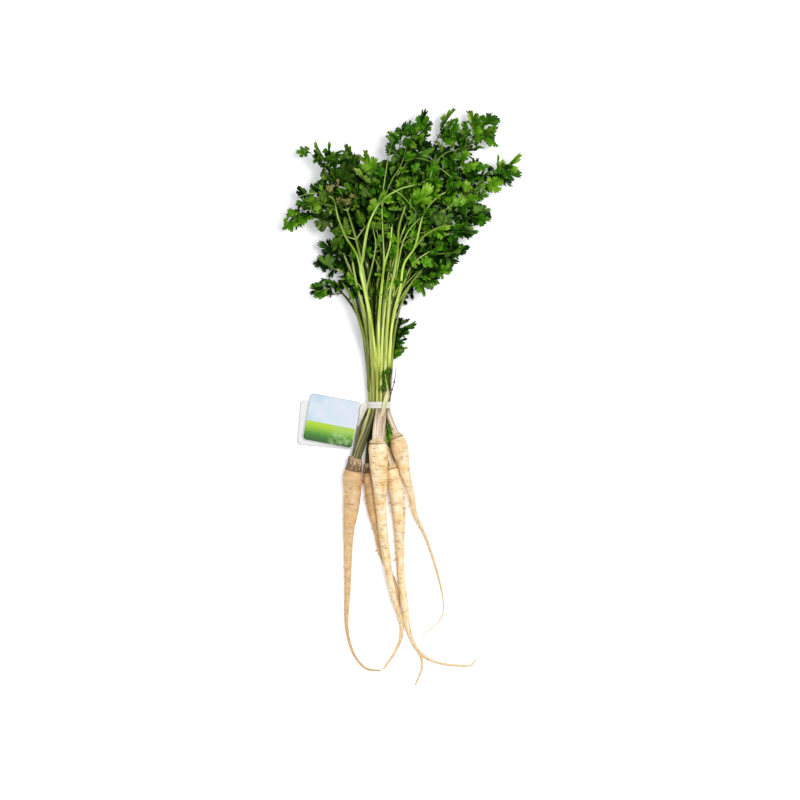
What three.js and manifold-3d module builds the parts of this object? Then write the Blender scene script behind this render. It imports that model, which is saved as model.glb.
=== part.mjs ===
// A bunch of five parsley roots with their leaf tops, tied round the leaf stalks and lying on a table.
// Millimetres, +Z up. The tails of the roots point along -Y and the leaves along +Y.
// Everything is built over a point on the table under the tie, and moved at the end, so that
// the origin is on the table under the middle of the whole bunch.
import * as THREE from "three";
import { mergeVertices } from "three/addons/utils/BufferGeometryUtils.js";
import Module from "manifold-3d";

const wasm = await Module();
wasm.setup();

// ---- Tie and stalk packing ----
const TIE_HEIGHT = 10.5; // middle of the tie above the table
const TIE_WIDTH = 7;
const TIE_THICKNESS = 0.7;
const TIE_INSIDE = { x: 11.2, z: 9.5 }; // half axes of the oval that holds the stalks
const STALK_PITCH = 3.6;
const STALKS_PER_ROW = [4, 5, 6, 5, 4]; // from the table upwards
const MIDDLE_ROW = (STALKS_PER_ROW.length - 1) / 2;
const FIT_GAP = 0.3; // between pieces that touch

// ---- Leaves ----
const STALK_RADIUS = { crown: 1.65, tie: 1.55, blade: 1.15 };
const STALK_RINGS = { crown: 4, tie: 7 }; // cuts from crown to tie and from tie to blade
const STALK_SIDES = 5;
const STALK_SPREAD = 1.3; // how much wider the stalks stand on their way up than in the tie
const BLADE_THICKNESS = 0.8;
const RIB_HALF_WIDTH = 0.8;
const RIB_FOOT = 4; // how far the rib reaches down into the stalk
const SHOOT_HALF_WIDTH = 0.6;
const SPREAD_END = 92; // how far past the tie the leaves have reached their own level in the pile
const PILE_BOTTOM = 2.1;
const LEVEL_PITCH = 2.3;
const LEVELS_PER_ROW = 4.6;
const PILE_MIDDLE = { x: 15, y: 165 };
const PILE_REACH = { x: 105, y: 95 };
const PILE_EDGE = 0.55; // share of the full depth that is left at the edge of the pile
const WAVE_HEIGHT = 5;
const WAVE_LENGTH = { x: 96, y: 108 };

// One leaf: the plant it grows on, its row and place in the tie, its level within the row's layers,
// where its blade starts and where it ends, both seen from above.
const LEAVES = [
  { plant: "front", row: 4, place: 1, level: 0, base: [6, 172], tip: [49, 292] },
  { plant: "front", row: 4, place: 2, level: 2.8, base: [19, 158], tip: [62, 238] },
  { plant: "front", row: 4, place: 3, level: 1.4, base: [27, 144], tip: [110, 225] },
  { plant: "front", row: 3, place: 2, level: 3.1, base: [15, 192], tip: [23, 281] },
  { plant: "front", row: 3, place: 3, level: 1.6, base: [46, 198], tip: [115, 293] },
  { plant: "front", row: 2, place: 2, level: 3.2, base: [-3, 154], tip: [-13, 242] },
  { plant: "left", row: 4, place: 0, level: 4.6, base: [-22, 162], tip: [-62, 262] },
  { plant: "left", row: 3, place: 0, level: 2.4, base: [-43, 190], tip: [-99, 183] },
  { plant: "left", row: 3, place: 1, level: 0.6, base: [-13, 158], tip: [-38, 257] },
  { plant: "left", row: 2, place: 0, level: 0, base: [-29, 130], tip: [-50, 182] },
  { plant: "left", row: 2, place: 1, level: 1.5, base: [-20, 158], tip: [-60, 222] },
  { plant: "behind", row: 1, place: 0, level: 2, base: [-23, 118], tip: [-38, 162] },
  { plant: "behind", row: 1, place: 1, level: 0, base: [-18, 122], tip: [-38, 196] },
  { plant: "behind", row: 0, place: 0, level: 1, base: [-37, 112], tip: [-65, 121] },
  { plant: "behind", row: 0, place: 1, level: 3, base: [-12, 108], tip: [-22, 170] },
  { plant: "forked", row: 2, place: 3, level: 1, base: [28, 186], tip: [72, 293] },
  { plant: "forked", row: 1, place: 2, level: 3, base: [3, 130], tip: [10, 206] },
  { plant: "forked", row: 1, place: 3, level: 1, base: [17, 124], tip: [54, 188] },
  { plant: "forked", row: 0, place: 2, level: 0, base: [8, 106], tip: [26, 168] },
  { plant: "forked", row: 0, place: 3, level: 2, base: [20, 120], tip: [50, 136] },
  { plant: "right", row: 3, place: 4, level: 0, base: [46, 184], tip: [141, 240] },
  { plant: "right", row: 2, place: 4, level: 2, base: [35, 146], tip: [102, 188] },
  { plant: "right", row: 2, place: 5, level: 0, base: [32, 132], tip: [85, 164] },
  { plant: "right", row: 1, place: 4, level: 2, base: [29, 124], tip: [66, 145] },
];

// Side shoots of a leaf blade. As shares of the blade's length from base to tip: where a pair leaves
// the rib and how long it is. Each leaflet has its place along the shoot, its angle in degrees and
// its size as a share of the leaf's own leaflet size.
const THREE_LEAFLETS = [[0.55, -62, 0.8], [1, 0, 1.05], [0.55, 62, 0.8]];
const SHOOTS = {
  small: [
    { at: 0.02, length: 0.26, angle: 50, leaflets: THREE_LEAFLETS },
    { at: 0.4, length: 0.06, angle: 50, leaflets: [[1, 0, 1.1]] },
    { at: 0.7, length: 0, angle: 56, leaflets: [[0, 0, 0.95]] },
  ],
  large: [
    { at: 0.02, length: 0.29, angle: 50, leaflets: THREE_LEAFLETS },
    { at: 0.32, length: 0.18, angle: 52, leaflets: THREE_LEAFLETS },
    { at: 0.6, length: 0, angle: 50, leaflets: [[0, 0, 1.05]] },
    { at: 0.77, length: 0, angle: 56, leaflets: [[0, 0, 0.85]] },
  ],
};
const LARGE_BLADE = 84;
const RIB_END = 0.8;
const LEAFLET_SIZE = { least: 11, growth: 0.13 }; // on a blade of no length, and for each mm of it
const LEAFLET_WIDEST = { along: 0.55, out: 0.46 }; // as shares of its length

// ---- Roots ----
// Each root from the top of its crown to the end of its tail: x and y of its middle, its radius,
// and how far its underside is lifted off the table by what it lies on.
const ROOTS = {
  left: [
    [-23.4, -53, 6.6, 6.6], [-24.6, -60, 7.2, 4.4], [-25.4, -64.8, 8.4, 2.4], [-26.2, -69.5, 9.7, 0.5],
    [-27, -90.7, 8.6, 0.2], [-28.5, -109.8, 7.2, 0.2], [-30.4, -128.9, 5.2, 0.2], [-31.1, -157.6, 4, 0.2],
    [-31.6, -186.3, 3.1, 0.2], [-32.5, -209.3, 2.3, 0.2], [-32, -226, 1.7, 0.2], [-25.5, -249.4, 1.3, 0.2],
    [-13.1, -264.2, 1.1, 0.2], [1.6, -266.6, 0.8, 0.2],
  ],
  behind: [
    [-9.4, -59, 5.4, 1.4], [-9.6, -64, 5.8, 1.1], [-9.4, -68, 6.4, 0.7], [-8.9, -73, 7, 0.4],
    [-7.6, -84, 6.9, 0.2], [-5.5, -105.6, 6, 0.2], [-1, -124, 4.9, 0.2], [2.6, -146, 3.8, 0.2],
    [9.8, -166, 3.1, 0.2], [16.6, -184, 2.5, 0.2], [19.4, -196, 1.6, 0.2], [20.4, -208, 0.9, 0.2],
  ],
  front: [
    [-0.6, -29, 7.8, 14.2], [-0.9, -34.5, 7.9, 14], [-1.2, -38.8, 8.8, 13.2], [-0.7, -43.5, 9.8, 12.4],
    [0, -62, 8.9, 12.6], [1, -81, 7, 13], [1.6, -100.2, 5.6, 11.4], [3.4, -119.4, 4.9, 10],
    [5.4, -138.5, 4.4, 8.3], [8.2, -157.6, 4, 7.5], [11.4, -176.7, 3.4, 6.2], [15.9, -195.9, 3, 4.6],
    [21, -215, 2.4, 2.3], [22.5, -226, 2, 1], [20.6, -236, 1.7, 0.2], [12.3, -253.3, 1.3, 0.2],
    [5.6, -263.6, 1, 0.2],
  ],
  forked: [
    [10.9, -55, 6.4, 1.6], [12.2, -60, 6.8, 1.2], [13.2, -64, 7.7, 0.6], [14.3, -69, 8.6, 0.2],
    [18.2, -90.7, 7.8, 0.2], [20, -109.8, 6.7, 0.2], [20.6, -128.9, 5.3, 0.2], [21.2, -148, 4.4, 0.2],
    [22.4, -172, 3.9, 0.2], [26.2, -205.4, 3.7, 0.2], [28.4, -220.7, 3.1, 0.2], [31.4, -231.5, 2.3, 0.2],
    [37.2, -243.7, 1.9, 0.2], [44.3, -251.4, 1.5, 0.2], [55.8, -257.5, 1.3, 0.2], [75, -261.2, 1.1, 0.2],
    [93, -260.6, 0.9, 0.2], [97.4, -255, 0.7, 0.2],
  ],
  right: [
    [13.9, -24.5, 5.6, 7.6], [15.6, -28.5, 5.9, 7.4], [17.6, -33, 7.2, 6.6], [19.4, -38, 8.3, 5.8],
    [21.3, -45.5, 8.4, 6], [23.9, -56.2, 6.6, 8.8], [27, -71.5, 5, 11.6], [32.4, -90.7, 3.4, 8.2],
    [36.2, -109.8, 2.5, 4], [40.7, -119.4, 1.9, 2.4], [46.7, -132.7, 1.5, 0.9], [57, -163.4, 1.2, 0.2],
    [64.2, -195, 0.9, 0.2], [63.4, -211, 0.8, 0.2], [54.5, -222.7, 0.7, 0.2], [43.4, -229.7, 0.7, 0.2],
  ],
};
const FORK = [[37.2, -243.7, 1.5, 0.2], [41.6, -252, 1.3, 0.2], [43.2, -263, 1.2, 0.2], [36.4, -281, 1, 0.2]];
const ROOT_SIDES = 10;
const RINGS_PER_STATION = 1.5;

// ---- Tag ----
// A folded card: its front leaf is printed, its back leaf sticks out to the left and below.
const TAG = { thickness: 0.8, corner: 4, slope: 6.5 };
const TAG_LEAVES = {
  tag_front: { width: 52, height: 48, turn: -10.7, middle: [-47.65, -16.05, 6.1] },
  tag_back: { width: 55, height: 45, turn: -4.5, middle: [-53.6, -19.4, 3.9] },
};
const STRAP_THICKNESS = 0.7;
// The loose end of the tie, from the tie to the tag: x, y, z along its left and its right edge.
const STRAP_EDGES = [
  [[-12.4, 3.2, 11.6], [-16.6, 0.6, 12.6], [-18.3, -6, 12.8], [-19.2, -13, 12], [-22.4, -20.6, 10.6]],
  [[-12.4, -3, 11.6], [-13.6, -5, 11.6], [-14.8, -8, 11.6], [-16.4, -13, 11.4], [-20, -20.6, 10.6]],
];

// ---- Small leaves ----
// Short shoots on the outside of the bunch: where they leave the tie, start and end their blade.
const SMALL_LEAVES = [
  { name: "small_leaf_right", from: [14.2, 8], base: [17.2, 46], tip: [24, 84], heights: [10.5, 9, 12.4] },
  { name: "small_leaf_top", from: [4.6, 8], base: [6.6, 20], tip: [9.6, 36], heights: [24.4, 25.6, 27.6] },
];
const SMALL_STALK_RADIUS = 0.75;
const SMALL_STALK_END = 0.9;
// Leaflets of a small leaf: way along it, angle in degrees, share of the blade's length.
const SMALL_LEAFLETS = [
  [0.62, -52, 0.34],
  [0.62, 52, 0.22],
  [0.8, -48, 0.3],
  [0.8, 48, 0.34],
  [0.9, 0, 0.4],
];

const MATERIALS = {
  root: { color: 0xe9c893, roughness: 0.7, metalness: 0 },
  leaf: { color: 0x4b7a24, roughness: 0.55, metalness: 0 },
  tie: { color: 0xf2f0ea, roughness: 0.45, metalness: 0 },
  tag: { color: 0xdfe8f2, roughness: 0.4, metalness: 0 },
};

const SHORTEST_EDGE = 0.15; // slivers left by joining that are thinner than this are dropped

// A repeatable number from 0 to 1 for the k-th choice about the n-th thing.
function chance(n, k) {
  const wide = Math.sin(n * 127.1 + k * 311.7) * 43758.5453;
  return wide - Math.floor(wide);
}

function degrees(angle) {
  return (angle * Math.PI) / 180;
}

// ---- Solids ----
function solid(geometry) {
  const bare = geometry.index ? geometry.toNonIndexed() : geometry.clone();
  bare.deleteAttribute("normal");
  bare.deleteAttribute("uv");
  const merged = mergeVertices(bare, 1e-4);
  return new wasm.Manifold(
    new wasm.Mesh({
      numProp: 3,
      vertProperties: merged.attributes.position.array,
      triVerts: new Uint32Array(merged.index.array),
    }),
  );
}

function joined(solids) {
  return solids.reduce((whole, piece) => whole.add(piece));
}

function shape(made) {
  const { vertProperties, triVerts } = made.getMesh();
  const geometry = new THREE.BufferGeometry();
  geometry.setAttribute("position", new THREE.BufferAttribute(vertProperties, 3));
  return geometry.setIndex(new THREE.BufferAttribute(triVerts, 1));
}

function mesh(name, made, look) {
  const geometry = shape(made.simplify(SHORTEST_EDGE));
  geometry.computeVertexNormals();
  const piece = new THREE.Mesh(geometry, new THREE.MeshStandardMaterial(MATERIALS[look]));
  piece.name = name;
  return piece;
}

// A closed tube round a curve: a cylinder whose rings are moved onto it.
function tube(curve, radiusAt, rings, sides) {
  const geometry = new THREE.CylinderGeometry(1, 1, 1, sides, rings);
  const position = geometry.attributes.position;
  const up = new THREE.Vector3(0, 0, 1);
  for (let i = 0; i < position.count; i++) {
    const way = 0.5 - position.getY(i);
    const back = curve.getTangent(way).negate();
    const side = back.clone().cross(up).normalize();
    const over = side.clone().cross(back);
    const point = curve
      .getPoint(way)
      .addScaledVector(side, radiusAt(way) * position.getX(i))
      .addScaledVector(over, radiusAt(way) * position.getZ(i));
    position.setXYZ(i, point.x, point.y, point.z);
  }
  return solid(geometry);
}

// A curve through points that a function of the way along gives.
class Line extends THREE.Curve {
  constructor(pointAt) {
    super();
    this.pointAt = pointAt;
  }
  getPoint(way, target = new THREE.Vector3()) {
    return target.copy(this.pointAt(way));
  }
}

// ---- Roots ----
function rootTube(stations, sides) {
  const points = stations.map(([x, y, radius, lift]) => new THREE.Vector3(x, y, radius + lift));
  const curve = new THREE.CatmullRomCurve3(points);
  const last = stations.length - 1;
  const radiusAt = (way) => {
    const i = Math.min(Math.floor(way * last), last - 1);
    return THREE.MathUtils.lerp(stations[i][2], stations[i + 1][2], way * last - i);
  };
  return tube(curve, radiusAt, Math.ceil(last * RINGS_PER_STATION), sides);
}

function root(name) {
  const taproot = rootTube(ROOTS[name], ROOT_SIDES);
  return name === "forked" ? taproot.add(rootTube(FORK, ROOT_SIDES / 2)) : taproot;
}

// The middle of a crown's top face, and the way that it faces.
function crown(name) {
  const [top, below] = ROOTS[name].map(([x, y, radius, lift]) => new THREE.Vector3(x, y, radius + lift));
  return { top, facing: top.clone().sub(below).normalize() };
}

// ---- Leaves ----
// Where a stalk goes through the tie.
function slot({ row, place }) {
  return new THREE.Vector3(
    (place - (STALKS_PER_ROW[row] - 1) / 2) * STALK_PITCH,
    0,
    TIE_HEIGHT + (row - MIDDLE_ROW) * STALK_PITCH * Math.sqrt(0.75),
  );
}

// The middle of all the slots that one plant's stalks take.
function plantSlot(plant) {
  const slots = LEAVES.filter((leaf) => leaf.plant === plant).map(slot);
  return slots.reduce((sum, one) => sum.add(one), new THREE.Vector3()).divideScalar(slots.length);
}

// Where a stalk leaves its crown: the plant's stalks stand on it as they lie in the tie.
function stalkFoot(leaf) {
  const { top, facing } = crown(leaf.plant);
  const offset = slot(leaf).sub(plantSlot(leaf.plant));
  const side = facing.clone().cross(new THREE.Vector3(0, 0, 1)).normalize();
  const over = side.clone().cross(facing);
  return top
    .addScaledVector(facing, FIT_GAP)
    .addScaledVector(side, offset.x)
    .addScaledVector(over, offset.z);
}

// Height of a leaf over the table: it leaves the tie at its slot and settles on its own level of the pile.
// All the levels share one swell, so that no two leaves meet.
function height(leaf, x, y) {
  const dx = (x - PILE_MIDDLE.x) / PILE_REACH.x;
  const dy = (y - PILE_MIDDLE.y) / PILE_REACH.y;
  const depth = PILE_EDGE + (1 - PILE_EDGE) * Math.exp(-dx * dx - dy * dy);
  const level = (leaf.row * LEVELS_PER_ROW + leaf.level) * LEVEL_PITCH;
  const across = Math.sin((2 * Math.PI * (0.9 * x + 0.35 * y)) / WAVE_LENGTH.x);
  const along = Math.cos((2 * Math.PI * (0.8 * y - 0.3 * x)) / WAVE_LENGTH.y);
  const settled = PILE_BOTTOM + level * depth + (WAVE_HEIGHT * (1 + across * along)) / 2;
  return THREE.MathUtils.lerp(slot(leaf).z, settled, THREE.MathUtils.smoothstep(y, 0, SPREAD_END));
}

// A leaf seen from above: its stalk from the tie to the blade, then the rib of the blade.
function plan(leaf) {
  const base = new THREE.Vector2(...leaf.base);
  const tip = new THREE.Vector2(...leaf.tip);
  const start = new THREE.Vector2(slot(leaf).x, 0);
  const rise = base.clone().sub(start);
  const blade = tip.clone().sub(base);
  const heading = rise.clone().normalize().add(blade.clone().normalize()).normalize();
  const stalk = new THREE.CubicBezierCurve(
    start,
    new THREE.Vector2(start.x * STALK_SPREAD, 0.45 * base.y),
    base.clone().addScaledVector(heading, -0.3 * rise.length()),
    base,
  );
  const rib = new THREE.QuadraticBezierCurve(base, base.clone().addScaledVector(heading, 0.45 * blade.length()), tip);
  return { stalk, rib };
}

// The plan curve lifted to the leaf's height.
function lifted(leaf, curve) {
  return new Line((way) => {
    const { x, y } = curve.getPoint(way);
    return new THREE.Vector3(x, y, height(leaf, x, y));
  });
}

function stalkBelowTie(leaf) {
  const foot = stalkFoot(leaf);
  const end = slot(leaf);
  const reach = foot.distanceTo(end) / 3;
  return new THREE.CubicBezierCurve3(
    foot,
    foot.clone().addScaledVector(crown(leaf.plant).facing, reach),
    end.clone().add(new THREE.Vector3(0, -reach, 0)),
    end,
  );
}

// One tube from the crown, through the tie, to the blade.
function stalk(leaf, above) {
  const rings = STALK_RINGS.crown + STALK_RINGS.tie;
  const tie = STALK_RINGS.crown / rings;
  const below = stalkBelowTie(leaf);
  const toBlade = lifted(leaf, above);
  const line = new Line((way) => {
    if (way < tie) return below.getPoint(way / tie);
    return toBlade.getPoint((way - tie) / (1 - tie));
  });
  const radiusAt = (way) => {
    const { lerp } = THREE.MathUtils;
    if (way < tie) return lerp(STALK_RADIUS.crown, STALK_RADIUS.tie, way / tie);
    return lerp(STALK_RADIUS.tie, STALK_RADIUS.blade, (way - tie) / (1 - tie));
  };
  return tube(line, radiusAt, rings, STALK_SIDES);
}

// Corners of a leaflet that starts at a point and grows in one direction, from its right side round its tip.
function leafletCorners(start, direction, size) {
  const { along, out } = LEAFLET_WIDEST;
  const corners = [
    new THREE.Vector2(0, -SHOOT_HALF_WIDTH),
    new THREE.Vector2(along * size, -out * size),
    new THREE.Vector2(size, 0),
    new THREE.Vector2(along * size, out * size),
    new THREE.Vector2(0, SHOOT_HALF_WIDTH),
  ];
  return corners.map((corner) => corner.rotateAround(new THREE.Vector2(), direction).add(start));
}

// Outline of a shoot with its leaflets, seen from above.
function shootCorners(start, direction, length, leaflets, scale) {
  const spot = (along, out) =>
    new THREE.Vector2(along, out).rotateAround(new THREE.Vector2(), direction).add(start);
  const corners = leaflets.flatMap(([at, angle, size]) =>
    leafletCorners(
      spot(at * length, Math.sign(angle) * SHOOT_HALF_WIDTH),
      direction + degrees(angle),
      size * scale,
    ),
  );
  return length ? [spot(0, -SHOOT_HALF_WIDTH), ...corners, spot(0, SHOOT_HALF_WIDTH)] : corners;
}

// A strip that follows the rib, with a foot inside the end of the stalk.
function ribCorners(rib, from, to) {
  const edge = (out) =>
    [0, 0, 0.33, 0.67, 1].map((share, rank) => {
      const way = THREE.MathUtils.lerp(from, to, share);
      const { x, y } = rib.getTangent(way);
      const back = rank ? 0 : RIB_FOOT;
      return new THREE.Vector2(y * out - x * back, -x * out - y * back).add(rib.getPoint(way));
    });
  return [...edge(RIB_HALF_WIDTH), ...edge(-RIB_HALF_WIDTH).reverse()];
}

// Thin flat plates joined into one, then laid on a surface.
function laid(outlines, heightAt) {
  const plates = outlines.map((corners) => {
    const options = { depth: BLADE_THICKNESS, bevelEnabled: false };
    return solid(new THREE.ExtrudeGeometry(new THREE.Shape(corners), options));
  });
  const geometry = shape(joined(plates));
  const position = geometry.attributes.position;
  for (let i = 0; i < position.count; i++) {
    const middle = heightAt(position.getX(i), position.getY(i));
    position.setZ(i, middle + position.getZ(i) - BLADE_THICKNESS / 2);
  }
  return solid(geometry);
}

function blade(leaf, number, rib) {
  const length = new THREE.Vector2(...leaf.base).distanceTo(new THREE.Vector2(...leaf.tip));
  const leafletSize = LEAFLET_SIZE.least + LEAFLET_SIZE.growth * length;
  const outlines = SHOOTS[length > LARGE_BLADE ? "large" : "small"].flatMap((kind, rank) =>
    [-1, 1].map((side) => {
      const pick = rank * 2 + (side + 1) / 2;
      const heading = rib.getTangent(kind.at);
      const turn = side * degrees(kind.angle + 16 * (chance(number, pick) - 0.5));
      const reach = kind.length * length * (0.8 + 0.4 * chance(number, pick + 10));
      const direction = Math.atan2(heading.y, heading.x) + turn;
      return shootCorners(rib.getPoint(kind.at), direction, reach, kind.leaflets, leafletSize);
    }),
  );
  const heading = rib.getTangent(RIB_END);
  const direction = Math.atan2(heading.y, heading.x);
  const end = leafletCorners(rib.getPoint(RIB_END), direction, (1 - RIB_END) * length + 1);
  return laid([ribCorners(rib, 0, RIB_END), ...outlines, end], (x, y) => height(leaf, x, y));
}

function wholeLeaf(leaf, number) {
  const { stalk: above, rib } = plan(leaf);
  return stalk(leaf, above).add(blade(leaf, number, rib));
}

// ---- Tie and tag ----
function oval(halfX, halfZ) {
  return new THREE.Path().absellipse(0, 0, halfX, halfZ, 0, 2 * Math.PI);
}

function tieBand() {
  const ring = new THREE.Shape(oval(TIE_INSIDE.x + TIE_THICKNESS, TIE_INSIDE.z + TIE_THICKNESS).getPoints(12));
  ring.holes.push(new THREE.Path(oval(TIE_INSIDE.x, TIE_INSIDE.z).getPoints(12).reverse()));
  const band = new THREE.ExtrudeGeometry(ring, { depth: TIE_WIDTH, bevelEnabled: false });
  return solid(band.rotateX(Math.PI / 2).translate(0, TIE_WIDTH / 2, TIE_HEIGHT));
}

// The flat end of the tie that holds the tag: a plate between its two edges.
function tieEnd() {
  const [left, right] = STRAP_EDGES.map((edge) => {
    return new THREE.CatmullRomCurve3(edge.map((point) => new THREE.Vector3(...point)));
  });
  const rings = 9;
  const strip = new THREE.BoxGeometry(1, 1, STRAP_THICKNESS, 1, rings, 1);
  const position = strip.attributes.position;
  for (let i = 0; i < position.count; i++) {
    const way = 0.5 - position.getY(i);
    const width = right.getPoint(way).sub(left.getPoint(way));
    const through = width.clone().cross(left.getTangent(way).add(right.getTangent(way)).negate()).normalize();
    const point = left
      .getPoint(way)
      .addScaledVector(width, position.getX(i) + 0.5)
      .addScaledVector(through, position.getZ(i));
    position.setXYZ(i, point.x, point.y, point.z);
  }
  return solid(strip);
}

function tagLeaf({ width, height: tall, turn, middle: [x, y, z] }) {
  const { corner, thickness, slope } = TAG;
  const card = new THREE.Shape();
  card.moveTo(corner - width / 2, -tall / 2);
  card.lineTo(width / 2 - corner, -tall / 2);
  card.absarc(width / 2 - corner, corner - tall / 2, corner, -Math.PI / 2, 0);
  card.lineTo(width / 2, tall / 2 - corner);
  card.absarc(width / 2 - corner, tall / 2 - corner, corner, 0, Math.PI / 2);
  card.lineTo(corner - width / 2, tall / 2);
  card.absarc(corner - width / 2, tall / 2 - corner, corner, Math.PI / 2, Math.PI);
  card.lineTo(-width / 2, corner - tall / 2);
  card.absarc(corner - width / 2, corner - tall / 2, corner, Math.PI, 1.5 * Math.PI);
  const plate = new THREE.ExtrudeGeometry(card, { depth: thickness, bevelEnabled: false, curveSegments: 4 });
  plate.translate(0, 0, -thickness / 2).rotateY(-degrees(slope)).rotateZ(degrees(turn));
  return solid(plate.translate(x, y, z));
}

// ---- Small leaves on the outside of the bunch ----
function smallLeaf({ from, base, tip, heights }) {
  const points = [from, base, tip].map(([x, y], i) => new THREE.Vector3(x, y, heights[i]));
  const curve = new THREE.QuadraticBezierCurve3(...points);
  const size = points[1].distanceTo(points[2]);
  const flat = (x, y) => {
    const way = THREE.MathUtils.clamp((y - from[1]) / (tip[1] - from[1]), 0, 1);
    return curve.getPoint(way).z;
  };
  const outlines = SMALL_LEAFLETS.map(([at, angle, share]) => {
    const start = curve.getPoint(at);
    const heading = curve.getTangent(at);
    const direction = Math.atan2(heading.y, heading.x) + degrees(angle);
    return leafletCorners(new THREE.Vector2(start.x, start.y), direction, share * size);
  });
  const line = new Line((way) => {
    const { x, y } = curve.getPoint(0.5 * way);
    return new THREE.Vector3(x, y, flat(x, y));
  });
  const blade = laid([ribCorners(curve, 0.4, SMALL_STALK_END), ...outlines], flat);
  return tube(line, () => SMALL_STALK_RADIUS, 4, 4).add(blade);
}

// ---- The bunch ----
const bunch = new THREE.Group();
for (const name of Object.keys(ROOTS)) {
  bunch.add(mesh(`root_${name}`, root(name), "root"));
}
const counts = {};
LEAVES.forEach((leaf, number) => {
  counts[leaf.plant] = (counts[leaf.plant] ?? 0) + 1;
  bunch.add(mesh(`leaf_${leaf.plant}_${counts[leaf.plant]}`, wholeLeaf(leaf, number), "leaf"));
});
for (const leaf of SMALL_LEAVES) bunch.add(mesh(leaf.name, smallLeaf(leaf), "leaf"));
bunch.add(mesh("tie_band", tieBand(), "tie"));
bunch.add(mesh("tie_end", tieEnd(), "tie"));
for (const [name, leaf] of Object.entries(TAG_LEAVES)) bunch.add(mesh(name, tagLeaf(leaf), "tag"));

const reach = new THREE.Box3().setFromObject(bunch);
const middle = reach.getCenter(new THREE.Vector3());
bunch.position.set(-middle.x, -middle.y, -reach.min.z);

export default bunch;
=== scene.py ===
"""A tied bunch of parsley roots with their leaf tops, lying on a pale table. Blender 4.5."""

import random
from math import atan2, cos, floor, hypot, pi, radians, sin, sqrt

import bpy
import numpy as np
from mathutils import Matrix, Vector, noise


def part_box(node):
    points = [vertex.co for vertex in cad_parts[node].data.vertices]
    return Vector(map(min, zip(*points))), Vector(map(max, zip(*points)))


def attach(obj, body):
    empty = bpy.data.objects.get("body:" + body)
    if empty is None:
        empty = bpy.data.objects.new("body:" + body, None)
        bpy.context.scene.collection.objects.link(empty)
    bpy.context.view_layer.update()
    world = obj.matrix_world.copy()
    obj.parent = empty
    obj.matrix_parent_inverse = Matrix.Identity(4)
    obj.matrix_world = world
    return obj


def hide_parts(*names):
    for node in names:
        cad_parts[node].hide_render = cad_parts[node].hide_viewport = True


MM = 0.001
UP = np.array([0.0, 0.0, 1.0])
CAMERA_OVER, CAMERA_HEIGHT = (21, 5), 4.015  # mm from the tie, m over the table
LENS, SENSOR = 180, 36

# ---- Layout of the bunch, as in the CAD source: millimetres over a point on the table under the tie ----
TIE_HEIGHT = 10.5
TIE_WIDTH = 7.0
TIE_MIDLINE = (11.55, 9.85)
STALK_PITCH = 3.6
ROW_PITCH = STALK_PITCH * sqrt(0.75)
STALKS_PER_ROW = [4, 5, 6, 5, 4]
MIDDLE_ROW = 2
STALK_SPREAD = 1.3
SPREAD_END = 92.0
PILE_BOTTOM = 2.1
LEVEL_PITCH = 2.3
LEVELS_PER_ROW = 4.6
PILE_MIDDLE = (15.0, 165.0)
PILE_REACH = (105.0, 95.0)
PILE_EDGE = 0.55
WAVE_HEIGHT = 5.0
WAVE_LENGTH = (96.0, 108.0)
LARGE_BLADE = 84.0
RIB_END = 0.8

# plant, row, place in the row, level, base of the blade, tip of the blade, how dry the blade is
LEAVES = [
    ("front", 4, 1, 0, (6, 172), (49, 292), 0.0),
    ("front", 4, 2, 2.8, (19, 158), (62, 238), 0.0),
    ("front", 4, 3, 1.4, (27, 144), (110, 225), 0.0),
    ("front", 3, 2, 3.1, (15, 192), (23, 281), 0.0),
    ("front", 3, 3, 1.6, (46, 198), (115, 293), 0.15),
    ("front", 2, 2, 3.2, (-3, 154), (-13, 242), 0.6),
    ("left", 4, 0, 4.6, (-22, 162), (-62, 262), 0.6),
    ("left", 3, 0, 2.4, (-43, 190), (-99, 183), 0.0),
    ("left", 3, 1, 0.6, (-13, 158), (-38, 257), 0.75),
    ("left", 2, 0, 0, (-29, 130), (-50, 182), 0.0),
    ("left", 2, 1, 1.5, (-20, 158), (-60, 222), 0.55),
    ("behind", 1, 0, 2, (-23, 118), (-38, 162), 0.0),
    ("behind", 1, 1, 0, (-18, 122), (-38, 196), 0.2),
    ("behind", 0, 0, 1, (-37, 112), (-65, 121), 0.0),
    ("behind", 0, 1, 3, (-12, 108), (-22, 170), 0.2),
    ("forked", 2, 3, 1, (28, 186), (72, 293), 0.2),
    ("forked", 1, 2, 3, (3, 130), (10, 206), 0.0),
    ("forked", 1, 3, 1, (17, 124), (54, 188), 0.0),
    ("forked", 0, 2, 0, (8, 106), (26, 168), 0.0),
    ("forked", 0, 3, 2, (20, 120), (50, 136), 0.0),
    ("right", 3, 4, 0, (46, 184), (141, 240), 0.0),
    ("right", 2, 4, 2, (35, 146), (102, 188), 0.0),
    ("right", 2, 5, 0, (32, 132), (85, 164), 0.0),
    ("right", 1, 4, 2, (29, 124), (66, 145), 0.0),
]
TOP_LEAF = ("", 4, 1.5, 4.6)  # stands for the highest level

# side shoots of a blade: place on the rib, length as a share of the blade's, spread in degrees, and its
# leaflets as place on the shoot, lean in degrees and size
THREE = [(0.55, -62, 0.8), (1, 0, 1.05), (0.55, 62, 0.8)]
SMALL_SHOOTS = [(0.02, 0.26, 50, THREE), (0.4, 0.06, 50, [(1, 0, 1.1)]), (0.7, 0.0, 56, [(0, 0, 0.95)])]
LARGE_SHOOTS = [
    (0.02, 0.29, 50, THREE), (0.32, 0.18, 52, THREE), (0.6, 0.0, 50, [(0, 0, 1.05)]), (0.77, 0.0, 56, [(0, 0, 0.85)]),
]

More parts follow.
